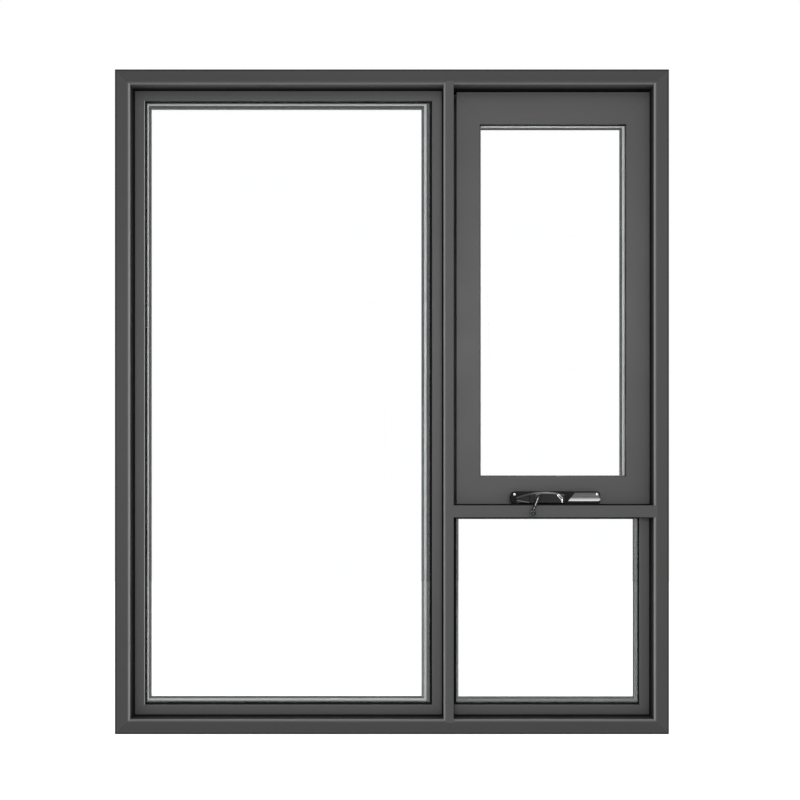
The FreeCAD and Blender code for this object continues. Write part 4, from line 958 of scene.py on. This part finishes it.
@dataclass
class Lever:
    """The small bright lever with its dark slot and its tail."""

    width: float = 0.0070
    start: float = -0.0035
    length: float = 0.0140
    tail_width: float = 0.0032
    round: float = 0.0030
    edge: float = 0.0005
    slot_width: float = 0.0034
    slot_start: float = 0.0022
    slot_end: float = 0.0125
    slot_proud: float = 0.00005
    slot_round: float = 0.45
    side_gap: float = 0.0004
    top_gap: float = 0.0012
    turn: float = math.radians(-45)

    def build(self) -> None:
        """Makes the bright plate with its tail, and the dark slot."""
        low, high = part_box("lock_lever")
        half = self.width / 2
        slant = math.cos(self.turn)
        pivot = Vector((high.x - self.tail_width / 2 - self.length * slant + self.side_gap, 0.0,
                        high.z - half * slant - self.top_gap))
        plate = block("lock_lever_plate", (-half, low.y, -self.length), (half, high.y, -self.start))
        round_edges(plate, self.round, 5, lambda middle, way: abs(way.y) > ALONG)
        round_edges(plate, self.edge, 2, lambda middle, way: middle.y < low.y + self.slot_proud)
        turn_and_move(plate, self.turn, pivot)
        end = pivot + Vector((1.0, 0.0, -1.0)).normalized() * (self.length - half / 2)
        tail = block("lock_lever_tail", (high.x - self.tail_width, low.y, low.z),
                     (high.x, high.y, end.z))
        round_edges(tail, self.edge * 2, 3,
                    lambda middle, way: abs(way.y) > ALONG and middle.z < low.z + self.edge)
        round_edges(tail, self.edge, 2, lambda middle, way: middle.y < low.y + self.slot_proud)
        join(plate, tail)
        place(plate, "bright", "lock_lever", "steel", "lock_lever")
        reach = self.slot_width / 2
        slot = block("lock_lever_slot", (-reach, low.y - self.slot_proud, -self.slot_end),
                     (reach, high.y - self.edge, -self.slot_start))
        round_edges(slot, self.slot_width * self.slot_round, 4,
                    lambda middle, way: abs(way.y) > ALONG)
        turn_and_move(slot, self.turn, pivot)
        place(slot, "bracket", "lock_lever", "winder")


@dataclass
class HollowLip:
    """A bright strip on the lower lip of the housing's thumb hollow: a painted highlight."""

    inset: float = 0.0170
    rise: float = 0.0111
    length: float = 0.0325
    height: float = 0.0014
    slope: float = 8.9
    front: float = 0.0033
    proud: float = 0.0003
    sink: float = 0.0010
    end_round: float = 0.48

    def build(self) -> None:
        """Makes the lip."""
        low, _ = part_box("winder_housing")
        front = low.y + self.front
        lip = block("winder_hollow_lip", (0.0, front - self.proud, -self.height / 2),
                    (self.length, front + self.sink, self.height / 2))
        round_edges(lip, self.height * self.end_round, 4, lambda middle, way: abs(way.y) > ALONG)
        round_edges(lip, self.proud * FRONT_SHARE, 2,
                    lambda middle, way: middle.y < front - self.proud * FRONT_SHARE)
        turn_and_move(lip, math.radians(self.slope),
                      Vector((low.x + self.inset, 0.0, low.z + self.rise)))
        # a painted highlight along the lip
        place(lip, "lip_highlight", "frame", "winder")


@dataclass
class Screws:
    """The winder's fixing screws, with rounded heads and cross recesses."""

    sides: int = 32
    crown: float = 0.0009
    shank: float = 0.0022
    recess_length: float = 0.0040
    recess_width: float = 0.0009
    recess_depth: float = 0.0010

    def build(self) -> None:
        """Makes one screw, and copies it to the other end."""
        low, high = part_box("winder_screws")
        radius = (high.z - low.z) / 2
        front, height = low.y, middle_of("winder_screws").z
        head = rod("winder_screw", (low.x + radius, front + self.crown, height), radius,
                   2 * self.crown, self.sides, "Y")
        round_edges(head, self.crown, 4,
                    lambda middle, way: abs(way.y) < ALONG and middle.y < front + self.crown / 9)
        pick_faces(head, lambda middle, normal: normal.y > FLAT)
        bpy.ops.mesh.inset(thickness=radius - self.shank, depth=0.0)
        rest = high.y - front - 2 * self.crown
        bpy.ops.mesh.extrude_region_move(TRANSFORM_OT_translate={"value": (0, rest, 0)})
        self._cut(head, Vector((low.x + radius, front, height)))
        other = named(copy_of(head), "winder_screw_right")
        other.location.x = high.x - low.x - 2 * radius
        only(other)
        bpy.ops.object.transform_apply(location=True, rotation=False, scale=False)
        for screw in (head, other):
            place(screw, "steel", "frame", "steel", "winder_screws")

    def _cut(self, head: bpy.types.Object, spot: Vector) -> None:
        """Cuts a cross into a head.

        Args:
            head: the screw.
            spot: the middle of its face.
        """
        long, short = self.recess_length, self.recess_width
        for across, up in ((long, short), (short, long)):
            cutter = block("recess_cutter",
                           (spot.x - across / 2, spot.y - self.crown, spot.z - up / 2),
                           (spot.x + across / 2, spot.y + self.recess_depth, spot.z + up / 2))
            round_edges(cutter, self.recess_width / 5, 1,
                        lambda middle, way: middle.y > spot.y and abs(way.y) < ALONG)
            only(head)
            cut = head.modifiers.new("recess", "BOOLEAN")
            cut.operation = "DIFFERENCE"
            cut.object = cutter
            bpy.ops.object.modifier_apply(modifier=cut.name)
            bpy.data.objects.remove(cutter)


@dataclass
class ChainSpan:
    """The winder's chain to the sash, built at rest; in use it lengthens as the sash opens."""

    length: float = 0.299
    pitch: float = 0.008
    radius: float = 0.0018
    roller: float = 0.0015
    plate: float = 0.0008
    start: float = -0.014
    end: float = -0.0084
    shells: tuple[float, float] = (0.0021, 0.0013)
    pin_sides: int = 12
    end_round: float = 0.99

    def build(self) -> None:
        """Makes one pair of links, copies it along the span, and gathers the span at rest."""
        spot = middle_of("chain_end")
        pair = self._pair()
        pieces = [pair]
        for number in range(1, math.ceil(self.length / (2 * self.pitch))):
            more = copy_of(pair)
            more.location.y = 2 * self.pitch * number
            pieces.append(more)
        for piece in pieces[1:]:
            join(pair, piece)
        for corner in pair.data.vertices:
            corner.co = Vector((corner.co.x + spot.x, self._rest(corner.co.y),
                                corner.co.z + spot.z))
        place(pair, "chain", None, "chain")
        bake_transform(pair)

    def _pair(self) -> bpy.types.Object:
        """An outer link and an inner link with their rollers, along Y from the origin."""
        parts = []
        for number, height in enumerate(self.shells):
            for side in (-1.0, 1.0):
                first = number * self.pitch
                level = side * height
                plate = block("chain_span",
                              (-self.radius, first - self.radius, level - self.plate / 2),
                              (self.radius, first + self.pitch + self.radius,
                               level + self.plate / 2))
                round_edges(plate, self.radius * self.end_round, 4,
                            lambda middle, way: abs(way.z) > ALONG)
                parts.append(plate)
            pin = rod("chain_pin", (0.0, number * self.pitch, 0.0), self.roller,
                      2 * self.shells[1], self.pin_sides, "Z")
            round_edges(pin, self.plate / 4, 1, lambda middle, way: abs(way.z) < ALONG)
            parts.append(pin)
        for part in parts[1:]:
            join(parts[0], part)
        return parts[0]

    def _rest(self, along: float) -> float:
        """Where a place on the span lies at rest.

        Args:
            along: its distance from the winder when the span is drawn out.

        Returns:
            Its depth at rest.
        """
        if along <= 0.0:
            return self.start + along
        if along >= self.length:
            return self.end + along - self.length
        share = along / self.length
        gathered = 0.5 - math.sin(math.asin(1.0 - 2.0 * share) / 3.0)
        return self.start + (self.end - self.start) * gathered


# ---- Studio ----
@dataclass(frozen=True)
class Lamp:
    """A square area lamp."""

    name: str
    spot: Point
    power: float
    size: float


@dataclass
class Studio:
    """A pale floor, a white surround, soft lamps and the camera."""

    white: Colour = (1.0, 1.0, 1.0)
    floor_colour: Colour = (0.8, 0.8, 0.8)
    floor_roughness: float = 0.9
    floor_drop: float = 0.9
    floor_glow: float = 0.6
    shadow_reach: float = 1.2
    white_reach: float = 4.0
    object_middle: float = 0.9
    view_distance: float = 2.9
    view_x: float = 0.0218
    view_z: float = 0.729
    view_rise: float = 0.0812
    lens: float = 48.2
    hung: tuple[Lamp, ...] = (
        Lamp("front_left", (-0.73, -4.2, 1.15), 33.0, 1.3),
        Lamp("front_right", (1.04, -4.2, 1.8), 25.0, 0.85),
        Lamp("edge_left", (-2.8, -1.6, 0.9), 10.0, 1.6),
        Lamp("edge_right", (2.8, -1.6, 0.9), 10.0, 1.6),
        Lamp("above", (0.0, -2.8, 3.6), 9.0, 1.6),
    )
    fill: float = 0.25

    def build(self) -> None:
        """Sets up everything that isn't the object."""
        self.floor()
        self.world()
        self.lamps()
        self.camera()

    def floor(self) -> None:
        """Lays a wide floor that shows white and keeps the window's shadow."""
        deselect()
        bpy.ops.mesh.primitive_plane_add(size=FLOOR_SIZE, location=(0, 0, -self.floor_drop))
        plane = bpy.context.object
        plane.name = "studio_floor"
        material, n, shader = new_material("studio_white")
        n.fill(shader, {"Base Color": self.floor_colour, "Roughness": self.floor_roughness,
                        "Emission Color": self.white})
        away = n.add("ShaderNodeVectorMath", operation="LENGTH")
        n.join(n.add("ShaderNodeTexCoord").outputs["Object"], away.inputs[0])
        ramp = n.add("ShaderNodeMapRange", interpolation_type="SMOOTHSTEP")
        n.join(away.outputs["Value"], ramp.inputs["Value"])
        n.fill(ramp, {"From Min": self.shadow_reach, "From Max": self.white_reach,
                      "To Min": self.floor_glow, "To Max": 1.0})
        n.join(n.times(self._seen(n), ramp.outputs[0]), shader.inputs["Emission Strength"])
        plane.data.materials.append(material)

    @staticmethod
    def _seen(n: Nodes) -> Socket:
        """1 for rays from the camera, off gloss and through glass, and 0 for the others."""
        path = n.add("ShaderNodeLightPath").outputs
        seen = n.maths("MAXIMUM", path["Is Camera Ray"], path["Is Glossy Ray"])
        return n.maths("MAXIMUM", seen, path["Is Transmission Ray"])

    def world(self) -> None:
        """A white surround for what is seen, and a weaker one that lights the object."""
        world = bpy.data.worlds.new("studio_world")
        bpy.context.scene.world = world
        world.use_nodes = True
        n = Nodes(world.node_tree)
        back = world.node_tree.nodes["Background"]
        n.fill(back, {"Color": self.white})
        extra = n.times(self._seen(n), 1.0 - self.fill)
        n.join(n.plus(extra, self.fill), back.inputs["Strength"])

    def lamps(self) -> None:
        """Hangs the soft lamps, in front, beside and above, each aimed at the window's middle."""
        for lamp in self.hung:
            data = bpy.data.lights.new("lamp_" + lamp.name, "AREA")
            data.energy, data.size = lamp.power, lamp.size
            holder = bpy.data.objects.new("lamp_" + lamp.name, data)
            holder.location = lamp.spot
            aim = Vector((0.0, 0.0, self.object_middle)) - Vector(lamp.spot)
            holder.rotation_euler = aim.to_track_quat("-Z", "Y").to_euler()
            bpy.context.scene.collection.objects.link(holder)

    def camera(self) -> None:
        """Looks straight at the window from the room."""
        data = bpy.data.cameras.new("view")
        data.lens = self.lens
        data.shift_y = self.view_rise
        camera = bpy.data.objects.new("view", data)
        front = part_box("frame_sill")[0].y
        camera.location = (self.view_x, front - self.view_distance, self.view_z)
        camera.rotation_euler = UPRIGHT
        bpy.context.scene.collection.objects.link(camera)
        bpy.context.scene.camera = camera


def openings() -> tuple[Rect, Rect, Rect]:
    """The left and lower lights' openings and the sash's sight lines."""
    jamb_left, jamb_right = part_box("frame_jamb_left")[1].x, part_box("frame_jamb_right")[0].x
    sill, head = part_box("frame_sill")[1].z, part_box("frame_head")[0].z
    mullion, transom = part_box("mullion"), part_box("transom")
    sash = (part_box("sash_stile_left")[1].x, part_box("sash_rail_bottom")[1].z,
            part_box("sash_stile_right")[0].x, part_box("sash_rail_top")[0].z)
    left = (jamb_left, sill, mullion[0].x, head)
    return (left, (mullion[1].x, sill, jamb_right, transom[0].z), sash)


def main() -> None:
    """Gives the CAD nodes their finishes, adds the pieces and sets up the studio."""
    logging.basicConfig(level=logging.INFO, format="%(name)s: %(message)s")
    bpy.context.scene.view_settings.view_transform = "Standard"
    dress_nodes()
    left_opening, lower_opening, sash_sight = openings()
    GlassUnit("left", "frame", left_opening, rubber=(0.0325, 0.0345, 0.0365, 0.0305),
              band=(0.0343, 0.0385, 0.0450, 0.0345), bar=(0.0382, 0.0445, 0.0520, 0.0388),
              outer=(0.0425, 0.0480, 0.0590, 0.0425)).build()
    GlassUnit("lower", "frame", lower_opening, rubber=(0.0105, 0.034, 0.0325, 0.006),
              band=(0.0108, 0.0375, 0.0328, 0.0065), bar=(0.0112, 0.043, 0.0410, 0.007),
              outer=(0.0175, 0.047, 0.0420, 0.0085), bar_finish="spacer_dull").build()
    GlassUnit("sash", "sash", sash_sight, rubber=(0.001, 0.0005, 0.0004, 0.0008),
              band=(0.0022, 0.0007, 0.0006, 0.001), bar=(0.0024, 0.001, 0.0080, 0.0055),
              outer=(0.0022, 0.001, 0.0125, 0.0072)).build()
    for part in (Crank(), Lever(), HollowLip(), Screws(), ChainSpan()):
        part.build()
    Studio().build()


if __name__ == "__main__":
    main()
